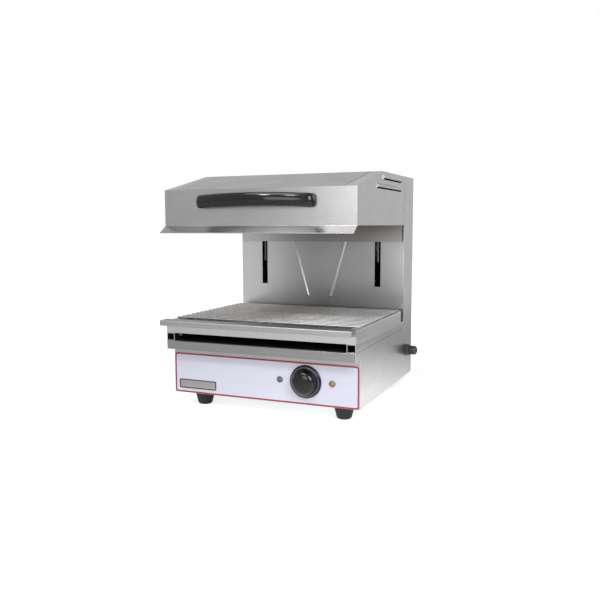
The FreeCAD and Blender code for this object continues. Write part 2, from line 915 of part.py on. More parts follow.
def foot_screws():
    """Screw and nut through each foot into the base pan, one turned solid each."""
    members = []
    for number, (x, y) in enumerate(foot_places(), start=1):
        screw = Piece(f"foot_screw_{number}", (x, y, dim.foot_recess))
        radius = dim.foot_screw_radius
        nut_low = FOOT + dim.sheet - dim.foot_recess
        nut_high = nut_low + dim.foot_nut_height
        profile = outline(
            (ZERO, -dim.foot_screw_head_height),
            (dim.foot_screw_head, -dim.foot_screw_head_height),
            (dim.foot_screw_head, ZERO),
            (radius, ZERO),
            (radius, nut_low),
            (dim.foot_screw_head, nut_low),
            (dim.foot_screw_head, nut_high),
            (radius, nut_high),
            (radius, nut_high + radius),
            (ZERO, nut_high + radius),
        )
        screw.revolve(FRONT, "V_Axis", profile)
        members.append(screw.placed())
    group("foot_screws", members)


# Column


def bead(piece_name, side, radius):
    """Round-ended rod along one of the two slanting beads of the column front."""
    low_x = dim.bead_low_x * side
    high_x = dim.bead_high_x * side
    run = high_x - low_x
    rise = dim.bead_high - dim.bead_low
    length = (run * run + rise * rise).root()
    rod = document.addObject("Part::Cylinder", f"{piece_name}_rod")
    bind(rod, "Radius", radius)
    bind(rod, "Height", length)
    slant = math.degrees(math.atan2(run.value, rise.value))
    rod.Placement = FreeCAD.Placement(
        FreeCAD.Vector(0, 0, 0), FreeCAD.Rotation(FreeCAD.Vector(0, 1, 0), slant)
    )
    axis_y = COLUMN_FRONT + dim.bead_sink
    move(rod, low_x, axis_y, FOOT + dim.bead_low)
    ends = []
    for number, (x, z) in enumerate(((low_x, dim.bead_low), (high_x, dim.bead_high))):
        end = document.addObject("Part::Sphere", f"{piece_name}_end_{number}")
        bind(end, "Radius", radius)
        move(end, x, axis_y, FOOT + z)
        ends.append(end)
    return [rod, *ends]


def column_front():
    """Column front with two lift slots and two pressed beads that lean apart."""
    sheet_piece = Piece("column_sheet")
    back = COLUMN_FRONT + dim.sheet
    top = TOP - dim.sheet
    sheet_piece.pad(FRONT, COLUMN_FRONT, back, rectangle(-INSIDE, BASE_TOP, INSIDE, top))
    half = dim.slot_width / 2
    slots = [
        rectangle(x - half, SLOT_LOW, x + half, SLOT_HIGH) for x in (-SLOT_X, SLOT_X)
    ]
    sheet_piece.pocket(FRONT, COLUMN_FRONT, back, *slots)
    outer = []
    inner = []
    for side, word in ((-1, "left"), (1, "right")):
        outer += bead(f"bead_{word}", side, dim.bead_radius)
        inner += bead(f"bead_back_{word}", side, dim.bead_radius - dim.sheet * 0.6)
    raised = document.addObject("Part::MultiFuse", "column_raised")
    raised.Shapes = [sheet_piece.placed(), *outer]
    hollow = document.addObject("Part::MultiFuse", "column_hollow")
    hollow.Shapes = inner
    pressed = document.addObject("Part::Cut", "column_pressed")
    pressed.Base = raised
    pressed.Tool = hollow
    trim = document.addObject("Part::Box", "column_trim")
    bind(trim, "Length", dim.body_width)
    bind(trim, "Width", dim.bead_radius * 2)
    bind(trim, "Height", dim.body_height)
    move(trim, -HALF, back, FOOT)
    panel = document.addObject("Part::Cut", "column_front")
    panel.Base = pressed
    panel.Tool = trim
    publish(panel, "column_front")


def column_top():
    """Flat cap of the column."""
    cap = Piece("column_top")
    cap.pad(FLOOR, TOP - dim.sheet, TOP, rectangle(-INSIDE, COLUMN_FRONT, INSIDE, dim.body_depth))
    cap.finish()


def rear_screw_places():
    """X and Z of the screws round the rear cover."""
    x = INSIDE - dim.rear_screw_edge
    low = FOOT + dim.rear_corner + dim.flange * 2
    high = TOP - dim.member_height - dim.flange * 2
    rows = [low, low + (high - low) / 3, low + (high - low) / 3 * 2, high]
    return [(side * x, z) for side in (-1, 1) for z in rows]


def rear_cover():
    """Screwed rear cover with two stacks of air slots behind the base."""
    cover = Piece("rear_cover")
    back = dim.body_depth
    front = back - dim.sheet
    half = INSIDE - dim.seat_gap
    low = FOOT + dim.pan_rim + dim.seat_gap
    high = TOP - dim.sheet - dim.seat_gap
    cover.pad(FRONT, front, back, rectangle(-half, low, half, high))
    holes = [circle(x, z, dim.screw_radius + dim.hole_gap) for x, z in rear_screw_places()]
    cover.pocket(FRONT, front, back, *holes)
    for side in (-1, 1):
        middle = side * dim.rear_vent_x
        left = middle - dim.rear_vent_length / 2
        right = middle + dim.rear_vent_length / 2
        vent_low = FOOT + dim.rear_vent_low
        vent = rectangle(left, vent_low, right, vent_low + dim.rear_vent_height)
        slot = cover.pocket(FRONT, front, back, vent)
        cover.repeat(slot, "Z_Axis", dim.rear_vents, dim.rear_vent_pitch)
    cover.finish()


def screw(label, at, direction, length):
    """Screw along Y with its coned head on the rear, 1, or on the front, -1."""
    piece = Piece(label, at)
    head = dim.screw_head_height * direction
    tip = -length * direction
    profile = outline(
        (ZERO, head),
        (dim.screw_crown, head),
        (dim.screw_head, ZERO),
        (dim.screw_radius, ZERO),
        (dim.screw_radius, tip),
        (ZERO, tip),
    )
    piece.revolve(FLOOR, "V_Axis", profile)
    return piece.placed()


def rear_screws():
    """Screws of the rear cover."""
    members = [
        screw(f"rear_screw_{number}", (x, dim.body_depth, z), 1, dim.screw_length)
        for number, (x, z) in enumerate(rear_screw_places(), start=1)
    ]
    group("rear_cover_screws", members)


# Lift gear


def cross_member(label, low, web_low):
    """Channel across the column that holds the two guide rods."""
    member = Piece(label)
    front = ROD_Y - dim.member_depth / 2
    rear = ROD_Y + dim.member_depth / 2
    wall = dim.member_wall
    high = low + dim.member_height
    if web_low:
        section = outline(
            (front, low), (rear, low), (rear, high), (rear - wall, high),
            (rear - wall, low + wall), (front + wall, low + wall), (front + wall, high),
            (front, high),
        )
        web = (low, low + wall)
    else:
        section = outline(
            (front, low), (front + wall, low), (front + wall, high - wall),
            (rear - wall, high - wall), (rear - wall, low), (rear, low), (rear, high),
            (front, high),
        )
        web = (high - wall, high)
    member.pad(SIDE, -INSIDE, INSIDE, section)
    holes = [circle(x, ROD_Y, dim.rod_radius) for x in (-SLOT_X, SLOT_X)]
    member.pocket(FLOOR, *web, *holes)
    member.finish()


def guide_rod(side, label):
    """Ground rod that one end of the carriage slides on."""
    rod = Piece(label, (side * SLOT_X, ROD_Y, ZERO))
    low = MEMBER_LOW_TOP - dim.member_wall - dim.rod_end
    high = MEMBER_HIGH_LOW + dim.member_wall + dim.rod_end
    rod.pad(FLOOR, low, high, circle(ZERO, ZERO, dim.rod_radius))
    rod.finish()


def stop_collars():
    """Collars on the rods that end the hood's travel above and below."""
    members = []
    levels = (BLOCK_LOW - TRAVEL - dim.seat_gap - dim.stop_height, BLOCK_HIGH + dim.seat_gap)
    for side, word in ((-1, "left"), (1, "right")):
        for number, low in enumerate(levels):
            collar = Piece(f"stop_{word}_{number}", (side * SLOT_X, ROD_Y, low))
            bore = circle(ZERO, ZERO, dim.rod_radius + dim.rod_gap)
            loops = circle(ZERO, ZERO, dim.stop_radius), bore
            collar.pad(FLOOR, ZERO, dim.stop_height, *loops)
            members.append(collar.placed())
    group("stop_collars", members)


def lift_spring(side, label):
    """Counterbalance spring from the yoke to the upper cross member."""
    spring = Piece(label, (side * dim.spring_x, ROD_Y, ZERO))
    low = yoke_top()
    loops = (
        circle(ZERO, ZERO, dim.spring_radius),
        circle(ZERO, ZERO, dim.spring_radius - dim.spring_wire),
    )
    spring.pad(FLOOR, low, MEMBER_HIGH_LOW, *loops)
    spring.finish()


def yoke_top():
    """Upper edge of the plate that joins the two carriages."""
    return BLOCK_LOW - dim.yoke_drop + dim.yoke_height + dim.carriage_drop


# Hood


def slope_sizes():
    """Rise of the hood slope per length, and the stretch of a sheet measured upright on it."""
    rise = dim.hood_height - dim.face_height
    pitch = rise / dim.slope_run
    stretch = (pitch * pitch + 1).root()
    return pitch, stretch


def roof_band():
    """Sheet over the slope and the flat top, seen from the side."""
    pitch, stretch = slope_sizes()
    wall = dim.sheet
    break_y = dim.hood_setback + dim.slope_run
    under_y = break_y + wall * (stretch - 1) / pitch
    return [
        (FACE_BACK, FACE_TOP + pitch * wall),
        (break_y, TOP),
        (HOOD_REAR, TOP),
        (HOOD_REAR, TOP - wall),
        (under_y, TOP - wall),
        (FACE_BACK, FACE_TOP + pitch * wall - wall * stretch),
    ]


def hood_cover():
    """Front lip, face, slope and top of the hood in one folded sheet."""
    cover = Piece("hood_cover")
    pitch, stretch = slope_sizes()
    wall = dim.sheet
    front = dim.hood_setback
    flare = dim.lip_drop / dim.lip_reach
    drop = wall * (flare * flare + 1).root()
    lip_y = front - dim.lip_reach
    lip_z = HOOD_LOW - dim.lip_drop
    face = outline(
        (lip_y, lip_z),
        (lip_y, lip_z - drop),
        (FACE_BACK, HOOD_LOW + flare * wall - drop),
        (FACE_BACK, FACE_TOP + pitch * wall),
        (front, FACE_TOP),
        (front, HOOD_LOW),
    )
    cover.pad(SIDE, -HALF, HALF, face)
    half = HALF - dim.hood_seam - dim.seam_gap
    band = roof_band()
    roof = outline((front, FACE_TOP), *band, (FACE_BACK, FACE_TOP - wall), (front, FACE_TOP - wall))
    cover.pad(SIDE, -half, half, roof)
    holes = [circle(x, z, dim.screw_radius + dim.hole_gap) for x, z in handle_screw_places()]
    cover.pocket(FRONT, front, FACE_BACK, *holes)
    cover.finish()


def hood_side(side, label):
    """Hood side with a folded top seam, a bottom rim and two pressed louvres."""
    panel = Piece(label)
    wall = dim.sheet
    band = roof_band()
    low, high = across(side, INSIDE, HALF)
    profile = outline((FACE_BACK, HOOD_LOW), (HOOD_REAR, HOOD_LOW), (HOOD_REAR, TOP), band[1], band[0])
    panel.pad(SIDE, low, high, profile)
    start, end = across(side, HALF - dim.hood_seam, HALF)
    panel.pad(SIDE, start, end, outline(*band))
    start, end = across(side, HALF - dim.hood_rim, HALF)
    rim = rectangle(FACE_BACK, HOOD_LOW, BACK_FRONT, HOOD_LOW + wall)
    panel.pad(SIDE, start, end, rim)
    rear = HOOD_REAR - dim.louvre_rear_inset
    reach = dim.louvre_reach
    inner_reach = reach - wall
    mouth = dim.louvre_mouth
    turn = -1 if side > 0 else 1
    for number in (0, 1):
        front = rear - dim.louvre_length - dim.louvre_extra * (1 - number)
        sill = TOP - dim.louvre_low + dim.louvre_pitch * number
        crest = sill + dim.louvre_height
        bulge = outline(
            (side * HALF, sill),
            (side * (HALF + reach), sill + mouth, dim.louvre_round, -turn),
            (side * HALF, crest),
        )
        panel.pad(FRONT, front, rear, bulge)
        hollow = outline(
            (side * INSIDE, sill),
            (side * HALF, sill),
            (side * (HALF + inner_reach), sill + mouth * inner_reach / reach, dim.louvre_round, -turn),
            (side * HALF, crest - wall),
            (side * INSIDE, crest - wall),
        )
        panel.pocket(FRONT, front + wall, rear - wall, hollow)
    panel.finish()


def hood_back():
    """Rear plate of the hood, which hangs below the sides and carries the arms."""
    plate = Piece("hood_back")
    low_half = HALF - dim.back_margin
    half = INSIDE - dim.seat_gap
    shape = outline(
        (-low_half, BACK_LOW),
        (low_half, BACK_LOW),
        (low_half, HOOD_LOW),
        (half, HOOD_LOW),
        (half, TOP - dim.sheet),
        (-half, TOP - dim.sheet),
        (-half, HOOD_LOW),
        (-low_half, HOOD_LOW),
    )
    plate.pad(FRONT, BACK_FRONT, BACK_REAR, shape)
    holes = [circle(x, z, dim.screw_radius + dim.hole_gap) for x, z in arm_bolt_places()]
    plate.pocket(FRONT, BACK_FRONT, BACK_REAR, *holes)
    plate.finish()


def reflector():
    """Folded trough over the heating elements, open below."""
    trough = Piece("reflector")
    wall = dim.reflector_sheet
    front = FACE_BACK
    rear = BACK_FRONT
    low = REFLECTOR_LOW
    high = REFLECTOR_TOP
    step = dim.reflector_front
    slope = dim.reflector_slope
    lean = slope / dim.reflector_height
    skew = wall * (lean * lean + 1).root()
    section = outline(
        (front, low),
        (front + step + skew, low),
        (front + step + slope + skew - lean * wall, high - wall),
        (rear - step - slope - skew + lean * wall, high - wall),
        (rear - step - skew, low),
        (rear, low),
        (rear, low + wall),
        (rear - step - lean * wall, low + wall),
        (rear - step - slope, high),
        (front + step + slope, high),
        (front + step + lean * wall, low + wall),
        (front, low + wall),
    )
    half = INSIDE - dim.seat_gap
    trough.pad(SIDE, -half, half, section)
    trough.finish()


def insulation():
    """Ceramic fibre mat on top of the reflector."""
    mat = Piece("insulation_mat")
    half = INSIDE - dim.insulation_inset
    front = FACE_BACK + dim.reflector_front + dim.reflector_slope + dim.sheet
    rear = BACK_FRONT - dim.reflector_front - dim.reflector_slope - dim.sheet
    mat.pad(FLOOR, REFLECTOR_TOP, REFLECTOR_TOP + dim.insulation_height,
            rectangle(-half, front, half, rear))
    mat.finish()


def element_y(number):
    """Middle of one heating element."""
    return FACE_BACK + dim.element_front_inset + element_pitch() * number


def element_pitch():
    """Distance between two heating elements."""
    span = BACK_FRONT - dim.element_rear_inset - FACE_BACK - dim.element_front_inset
    return span / (dim.element_count - 1)


def heating_element(number):
    """Tubular hairpin element, its open ends on the right."""
    element = Piece(f"heating_element_{number + 1}", (ZERO, element_y(number), REFLECTOR_LOW))
    reach = dim.element_spread / 2
    path = element.sketch(FLOOR, dim.element_height, [hairpin(reach)])
    tube_loop = circle(-reach, dim.element_height, dim.element_radius)
    section = element.sketch(SIDE, INSIDE - dim.element_end_inset, [tube_loop])
    tube = element.add("PartDesign::AdditivePipe", "tube")
    tube.Profile = section
    tube.Spine = (path, ["Edge1", "Edge2", "Edge3"])
    element.finish()


def hairpin(reach):
    """Open path of two legs and a half turn."""

    def draw(sketch):
        right = INSIDE - dim.element_end_inset
        left = dim.element_bend_inset - INSIDE
        near = FreeCAD.Vector(right.value, -reach.value, 0)
        near_left = FreeCAD.Vector(left.value, -reach.value, 0)
        far_left = FreeCAD.Vector(left.value, reach.value, 0)
        far = FreeCAD.Vector(right.value, reach.value, 0)
        axis = FreeCAD.Vector(0, 0, 1)
        bend = Part.Circle(FreeCAD.Vector(left.value, 0, 0), axis, reach.value)
        sketch.addGeometry(Part.LineSegment(near, near_left), False)
        sketch.addGeometry(Part.ArcOfCircle(bend, math.pi / 2, math.pi * 3 / 2), False)
        sketch.addGeometry(Part.LineSegment(far_left, far), False)
        sketch.addConstraint(Sketcher.Constraint("Coincident", 0, 2, 1, 2))
        sketch.addConstraint(Sketcher.Constraint("Coincident", 1, 1, 2, 1))
        tie(sketch, "DistanceX", (-1, 1, 0, 1), right)
        tie(sketch, "DistanceY", (-1, 1, 0, 1), -reach)
        tie(sketch, "DistanceX", (-1, 1, 0, 2), left)
        tie(sketch, "DistanceY", (-1, 1, 0, 2), -reach)
        tie(sketch, "DistanceX", (-1, 1, 1, 3), left)
        tie(sketch, "DistanceX", (-1, 1, 2, 1), left)
        tie(sketch, "DistanceY", (-1, 1, 2, 1), reach)
        tie(sketch, "DistanceX", (-1, 1, 2, 2), right)
        tie(sketch, "DistanceY", (-1, 1, 2, 2), reach)

    return draw


def element_bracket(side, label, x):
    """Upright plate that hangs from the reflector and holds the element legs."""
    bracket = Piece(label)
    wall = dim.reflector_sheet
    high = REFLECTOR_TOP - wall
    low = REFLECTOR_LOW + dim.element_height - dim.bracket_margin
    reach = dim.element_spread / 2 + dim.bracket_margin
    front = element_y(0) - reach
    rear = BACK_FRONT - dim.element_rear_inset + reach
    start, end = across(side, x, x + wall)
    bracket.pad(SIDE, start, end, rectangle(front, low, rear, high))
    rim_start, rim_end = across(side, x - dim.bracket_rim, x)
    bracket.pad(SIDE, rim_start, rim_end, rectangle(front, high - wall, rear, high))
    level = REFLECTOR_LOW + dim.element_height
    for leg in (-1, 1):
        y = element_y(0) + leg * dim.element_spread / 2
        hole = circle(y, level, dim.element_radius + dim.shaft_gap)
        pocket = bracket.pocket(SIDE, start, end, hole)
        bracket.repeat(pocket, "Y_Axis", dim.element_count, element_pitch())
    bracket.finish()


def lift_arm(side, label):
    """Flat arm from the hood's back plate through the column slot to the carriage."""
    arm = Piece(label)
    middle = side * SLOT_X
    half = dim.arm_thickness / 2
    foot_rear = BACK_REAR + dim.arm_thickness
    inside = COLUMN_FRONT + dim.sheet + dim.arm_clearance
    block_front = ROD_Y - dim.carriage_width / 2
    tail = ARM_LOW - dim.arm_tail
    head = ARM_HIGH + dim.arm_head
    profile = outline(
        (BACK_REAR, ARM_LOW),
        (inside, ARM_LOW),
        (inside, tail),
        (block_front, tail),
        (block_front, head),
        (inside, head),
        (inside, ARM_HIGH),
        (BACK_REAR, ARM_HIGH),
    )
    arm.pad(SIDE, middle - half, middle + half, profile)
    wide = dim.arm_foot_width / 2
    arm.pad(FRONT, BACK_REAR, foot_rear, rectangle(middle - wide, ARM_LOW, middle + wide, ARM_HIGH))
    own_side = [place for place in arm_bolt_places() if place[0].value * side > 0]
    holes = [circle(x, z, dim.screw_radius + dim.shaft_gap) for x, z in own_side]
    arm.pocket(FRONT, BACK_REAR, foot_rear, *holes)
    arm.finish()


def carriage(side, label):
    """Bearing block that rides on one guide rod."""
    block = Piece(label, (side * SLOT_X, ROD_Y, ZERO))
    half = dim.carriage_width / 2
    block.pad(FLOOR, BLOCK_LOW, BLOCK_HIGH, rectangle(-half, -half, half, half),
              circle(ZERO, ZERO, BORE_RADIUS))
    block.finish()


def guide_bushes():
    """Two bushes in each carriage, running on the rod."""
    members = []
    for side, word in ((-1, "left"), (1, "right")):
        for number, low in enumerate((BLOCK_LOW, BLOCK_HIGH - dim.bush_length)):
            bush = Piece(f"bush_{word}_{number}", (side * SLOT_X, ROD_Y, low))
            bore = circle(ZERO, ZERO, dim.rod_radius + dim.rod_gap)
            bush.pad(FLOOR, ZERO, dim.bush_length, circle(ZERO, ZERO, BORE_RADIUS), bore)
            members.append(bush.placed())
    group("guide_bushes", members)


def yoke():
    """Cross plate between the carriages that the springs pull on."""
    plate = Piece("lift_yoke")
    half = SLOT_X - dim.carriage_width / 2
    high = yoke_top()
    low = high - dim.yoke_height
    ledge = dim.spring_radius * 2 + dim.yoke_thickness
    section = outline(
        (ROD_Y - ledge / 2, high - dim.yoke_thickness),
        (ROD_Y + ledge / 2 - dim.yoke_thickness, high - dim.yoke_thickness),
        (ROD_Y + ledge / 2 - dim.yoke_thickness, low),
        (ROD_Y + ledge / 2, low),
        (ROD_Y + ledge / 2, high),
        (ROD_Y - ledge / 2, high),
    )
    plate.pad(SIDE, -half, half, section)
    plate.finish()


def arm_bolt_places():
    """X and Z of the screws that hold the arms to the hood's rear plate."""
    low = HOOD_LOW + dim.arm_bolt_rise
    shift = dim.arm_foot_width / 4
    return [
        (side * SLOT_X + shift * way, low + dim.arm_bolt_pitch * row)
        for side in (-1, 1)
        for way in (-1, 1)
        for row in (0, 1)
    ]


def handle_screw_places():
    """X and Z of the screws into the two handle feet."""
    middle = dim.handle_half - dim.handle_foot / 2
    level = HOOD_LOW + dim.handle_low - dim.handle_height / 2
    return [(-middle, level), (middle, level)]


def hood_screws():
    """Screws of the arms and of the handle, all with their heads inside the hood."""
    members = [
        screw(f"arm_screw_{number}", (x, BACK_FRONT, z), -1, dim.arm_screw_length)
        for number, (x, z) in enumerate(arm_bolt_places(), start=1)
    ]
    members += [
        screw(f"handle_screw_{number}", (x, FACE_BACK, z), 1, dim.screw_length)
        for number, (x, z) in enumerate(handle_screw_places(), start=1)
    ]
    group("hood_screws", members)


# Handle


def handle():
    """Bow handle: an arched front view cut to a bowed plan, with broad feet."""
    grip = Piece("hood_handle")
    half = dim.handle_half
    face = dim.hood_setback
    low = HOOD_LOW + dim.handle_low - dim.handle_height
    high = low + dim.handle_height
    shoulder = high - dim.handle_arch
    foot_low = low - dim.handle_foot_drop
    inner = half - dim.handle_foot
    arch = (half * half + dim.handle_arch * dim.handle_arch) / (2 * dim.handle_arch)
    front_view = outline(
        (-half, foot_low),
        (-inner, foot_low),
        (-inner + dim.handle_foot / 2, low),
        (inner - dim.handle_foot / 2, low),
        (inner, foot_low),
        (half, foot_low),
        (half, shoulder, arch, 1),
        (-half, shoulder),
    )
    grip.pad(FRONT, HANDLE_FRONT, face, front_view)
    bow = dim.handle_bow
    centre = HANDLE_FRONT + bow
    outer_y = centre - (bow * bow - half * half).root()
    inner_bow = bow - dim.handle_thickness
    inner_y = centre - (inner_bow * inner_bow - inner * inner).root()
    margin = dim.handle_thickness
    before = outline(
        (-half, outer_y, bow, 1),
        (half, outer_y),
        (half + margin, outer_y),
        (half + margin, HANDLE_FRONT - margin),
        (-half - margin, HANDLE_FRONT - margin),
        (-half - margin, outer_y),
    )
    grip.pocket(FLOOR, foot_low - margin, high + margin, before)
    gap = outline(
        (-inner, inner_y, inner_bow, 1),
        (inner, inner_y),
        (inner, face + margin),
        (-inner, face + margin),
    )
    grip.pocket(FLOOR, foot_low - margin, high + margin, gap)
    tip = FACE_BACK - dim.screw_length - dim.seat_gap
    holes = [circle(x, z, dim.screw_radius + dim.shaft_gap) for x, z in handle_screw_places()]
    grip.pocket(FRONT, tip, face, *holes)

    def is_corner(edge):
        corner = edge.Vertexes[0].Point
        at_end = abs(abs(corner.x) - half.value) < 0.01
        return is_upright(edge) and at_end and corner.y < face.value - 1

    grip.fillet(dim.handle_shoulder, is_corner)
    grip.finish()


# Tray and rack


def drip_tray():
    """Pull-out pan with inward rims at the sides and at the rear."""
    tray = Piece("drip_tray")
    wall = dim.sheet
    tray.pad(FLOOR, RAIL_TOP, RIM_TOP, rectangle(-HALF, ZERO, HALF, TRAY_REAR))
    well = rectangle(wall - HALF, wall, INSIDE, TRAY_REAR - wall)
    tray.pocket(FLOOR, RAIL_TOP + wall, RIM_TOP - wall, well)
    rim_inner = HALF - dim.tray_rim
    mouth = rectangle(-rim_inner, wall, rim_inner, TRAY_REAR - dim.tray_rear_rim)
    tray.pocket(FLOOR, RIM_TOP - wall, RIM_TOP, mouth)
    tray.finish()


def tray_lip():
    """Folded front lip to pull the tray by, hooked over the pan's front wall."""
    lip = Piece("tray_lip")
    wall = dim.sheet
    front = -dim.tray_lip_reach
    low = LIP_TOP - dim.tray_lip_height
    bend = dim.tray_lip_round
    section = outline(
        (ZERO, RIM_TOP),
        (wall, RIM_TOP),
        (wall, LIP_TOP),
        (front + bend, LIP_TOP, bend, 1),
        (front, LIP_TOP - bend),
        (front, low),
        (front + dim.tray_lip_return, low),
        (front + dim.tray_lip_return, low + wall),
        (front + wall, low + wall),
        (front + wall, LIP_TOP - bend, bend - wall, -1),
        (front + bend, LIP_TOP - wall),
        (-wall, LIP_TOP - wall),
        (-wall, RIM_TOP - dim.tray_lip_height),
        (ZERO, RIM_TOP - dim.tray_lip_height),
    )
    lip.pad(SIDE, -HALF, HALF, section)
    lip.finish()


def tray_runners():
    """Two angle strips under the pan that keep it between the rails."""
    members = []
    wall = dim.sheet
    low = RAIL_TOP - dim.runner_height
    for side, word in ((-1, "left"), (1, "right")):
        strip = Piece(f"tray_runner_{word}")
        outer = HALF - dim.rail_width - dim.slide_gap
        start, end = across(side, outer - wall, outer)
        rear = TRAY_REAR - dim.runner_inset
        strip.pad(FLOOR, low, RAIL_TOP, rectangle(start, dim.runner_inset, end, rear))
        start, end = across(side, outer - dim.runner_foot, outer)
        strip.pad(FLOOR, RAIL_TOP - wall, RAIL_TOP, rectangle(start, dim.runner_inset, end, rear))
        members.append(strip.placed())
    group("tray_runners", members)


def rack_wire(name, turn, radius, length, at):
    """One straight wire of the rack."""
    wire = document.addObject("Part::Cylinder", name)
    wire.Placement = FreeCAD.Placement(FreeCAD.Vector(0, 0, 0), turn)
    bind(wire, "Radius", radius)
    bind(wire, "Height", length)
    move(wire, *at)
    return wire


def grill_rack():
    """Wire rack: thin wires across the tray, lying on four thicker wires from front to back."""
    across_turn = FreeCAD.Rotation(FreeCAD.Vector(0, 1, 0), 90)
    along_turn = FreeCAD.Rotation(FreeCAD.Vector(1, 0, 0), -90)
    level = RIM_TOP + dim.rack_rod
    half = HALF - dim.rack_margin
    rear = TRAY_REAR - dim.tray_rear_rim - dim.slide_gap
    last = rear - dim.rack_rod
    pitch = (last - dim.rod_first) / (dim.rod_count - 1)
    members = []
    for number in range(int(dim.rod_count.value)):
        at = (-half, dim.rod_first + pitch * number, level)
        members.append(rack_wire(f"rack_rod_{number}", across_turn, dim.rack_rod, half * 2, at))
    start = dim.sheet + dim.slide_gap
    edge = HALF - dim.tray_rim - dim.rack_margin - dim.rack_bar
    bar_level = RIM_TOP - dim.rack_bar
    for number, x in enumerate((-edge, -dim.rack_centre, dim.rack_centre, edge)):
        at = (x, start, bar_level)
        members.append(rack_wire(f"rack_bar_{number}", along_turn, dim.rack_bar, rear - start, at))
    group("grill_rack", members)


def build():
    """Every sub-part in turn."""
    base_pan()
    side_panel(-1, "side_panel_left")
    side_panel(1, "side_panel_right")
    base_front()
    base_top()
    tray_rail(-1, "tray_rail_left")
    tray_rail(1, "tray_rail_right")
    heat_shield()
    fascia()
    regulator()
    regulator_nut()
    regulator_shaft()
    control_knob()
    lamp("green", GREEN_X)
    lamp("orange", ORANGE_X)
    terminal_block()
    gland_body()
    gland_cap()
    gland_nut()
    names = ("foot_front_left", "foot_front_right", "foot_rear_left", "foot_rear_right")
    for label, (x, y) in zip(names, foot_places()):
        foot(label, x, y)
    foot_screws()
    column_front()
    column_top()
    rear_cover()
    rear_screws()
    cross_member("lower_cross_member", BASE_TOP, False)
    cross_member("upper_cross_member", MEMBER_HIGH_LOW, True)
    guide_rod(-1, "guide_rod_left")
    guide_rod(1, "guide_rod_right")
    stop_collars()
    lift_spring(-1, "lift_spring_left")
    lift_spring(1, "lift_spring_right")
    hood_cover()
    hood_side(-1, "hood_side_left")
    hood_side(1, "hood_side_right")
    hood_back()
    reflector()
    insulation()
    for number in range(int(dim.element_count.value)):
        heating_element(number)
    element_bracket(-1, "element_bracket_left", INSIDE - dim.bracket_left_inset)
    element_bracket(1, "element_bracket_right", INSIDE - dim.bracket_right_inset)
    lift_arm(-1, "lift_arm_left")
    lift_arm(1, "lift_arm_right")
    carriage(-1, "carriage_left")
    carriage(1, "carriage_right")
    guide_bushes()
    yoke()
    hood_screws()
    handle()
    drip_tray()
    tray_lip()
    tray_runners()
    grill_rack()


def check():
    """Stops on a failed feature or a sub-part without a valid shape."""
    failed = [
        item.Name for item in document.Objects if {"Invalid", "Error"} & set(item.State)
    ]
    if failed:
        raise RuntimeError(f"failed features: {failed}")
    for item in published:
        if item.Shape.isNull() or not item.Shape.isValid():
            raise RuntimeError(f"no valid shape: {item.Label}")


def write():
    """One STEP file for each sub-part."""
    os.makedirs("parts", exist_ok=True)
    for item in published:
        item.Shape.exportStep(f"parts/{item.Label}.step")
        print(f"{item.Label}: {len(item.Shape.Solids)} solid, {item.Shape.Volume:.0f} mm3")


build()
document.recompute()
check()
write()
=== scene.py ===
"""Countertop salamander grill: the dressed pieces, their finishes and a plain studio."""

import logging
import math
from dataclasses import dataclass
from enum import Enum
from typing import Any, Callable, Iterable

import bmesh
import bpy
from mathutils import Matrix, Vector


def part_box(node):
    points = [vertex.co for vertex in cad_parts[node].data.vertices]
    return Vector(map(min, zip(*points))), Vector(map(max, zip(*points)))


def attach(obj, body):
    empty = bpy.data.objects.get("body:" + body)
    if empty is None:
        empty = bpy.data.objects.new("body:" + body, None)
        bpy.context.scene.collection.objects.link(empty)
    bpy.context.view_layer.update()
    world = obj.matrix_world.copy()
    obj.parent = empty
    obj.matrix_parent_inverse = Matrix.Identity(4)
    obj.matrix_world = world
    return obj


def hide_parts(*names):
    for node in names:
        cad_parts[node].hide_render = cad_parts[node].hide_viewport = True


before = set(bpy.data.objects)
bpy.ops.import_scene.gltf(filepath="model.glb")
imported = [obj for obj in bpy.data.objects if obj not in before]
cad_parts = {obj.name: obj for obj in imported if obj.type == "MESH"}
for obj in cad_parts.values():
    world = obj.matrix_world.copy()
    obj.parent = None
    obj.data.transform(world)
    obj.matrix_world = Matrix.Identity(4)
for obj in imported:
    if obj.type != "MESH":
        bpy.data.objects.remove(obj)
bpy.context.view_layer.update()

log = logging.getLogger("salamander_grill")

MM = 0.001
SAME = 0.05  # millimetres within which two coordinates count as one
WELD = 0.00001  # metres within which corners are merged
FLAT_DEGREES = 0.6  # faces that meet at less are one flat face
ROUNDING_STEPS = 3  # faces across a rounding
FOLD_DEGREES = 4.0  # faces that meet at less have no fold line between them
SHEET_DEGREES = 35.0  # a sheet's shading is smooth over edges up to this
SHEET_WEIGHT = 80  # how far a sheet's large faces set the shading
FACING = 0.9  # the part of a normal along an axis from which a face counts as facing it
BASE_LOW, BASE_HIGH = (Vector(corner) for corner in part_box("base_top"))
SHIFT = Vector(((BASE_LOW.x + BASE_HIGH.x) / 2, BASE_LOW.y, 0.0)) / MM
HALF = 225.0  # half the body's width
PANEL_Y = 29.2  # the fascia's front
CONTROL_Z = 84.8  # the height of the knob's and the lamps' axes
KNOB_X = 103.3
GREEN_X = 42.7
ORANGE_X = 163.9

Point = tuple[float, float, float]
Socket = bpy.types.NodeSocket
# A test of an edge's two ends, or of a face's centre and its normal.
PairTest = Callable[[Vector, Vector], bool]
# The part of a pattern's 0 to 1 that it really fills.
PATTERN_SPAN = {"From Min": 0.3, "From Max": 0.7}


class Direction(Enum):
    """The way that a brushed grain runs."""

    ACROSS = (1, 0, 0)
    BACK = (0, 1, 0)
    UP = (0, 0, 1)


def at(x: float, y: float, z: float) -> Vector:
    """A place in metres in the frame, from millimetres off the collar's front at worktop level."""
    return (Vector((x, y, z)) + SHIFT) * MM


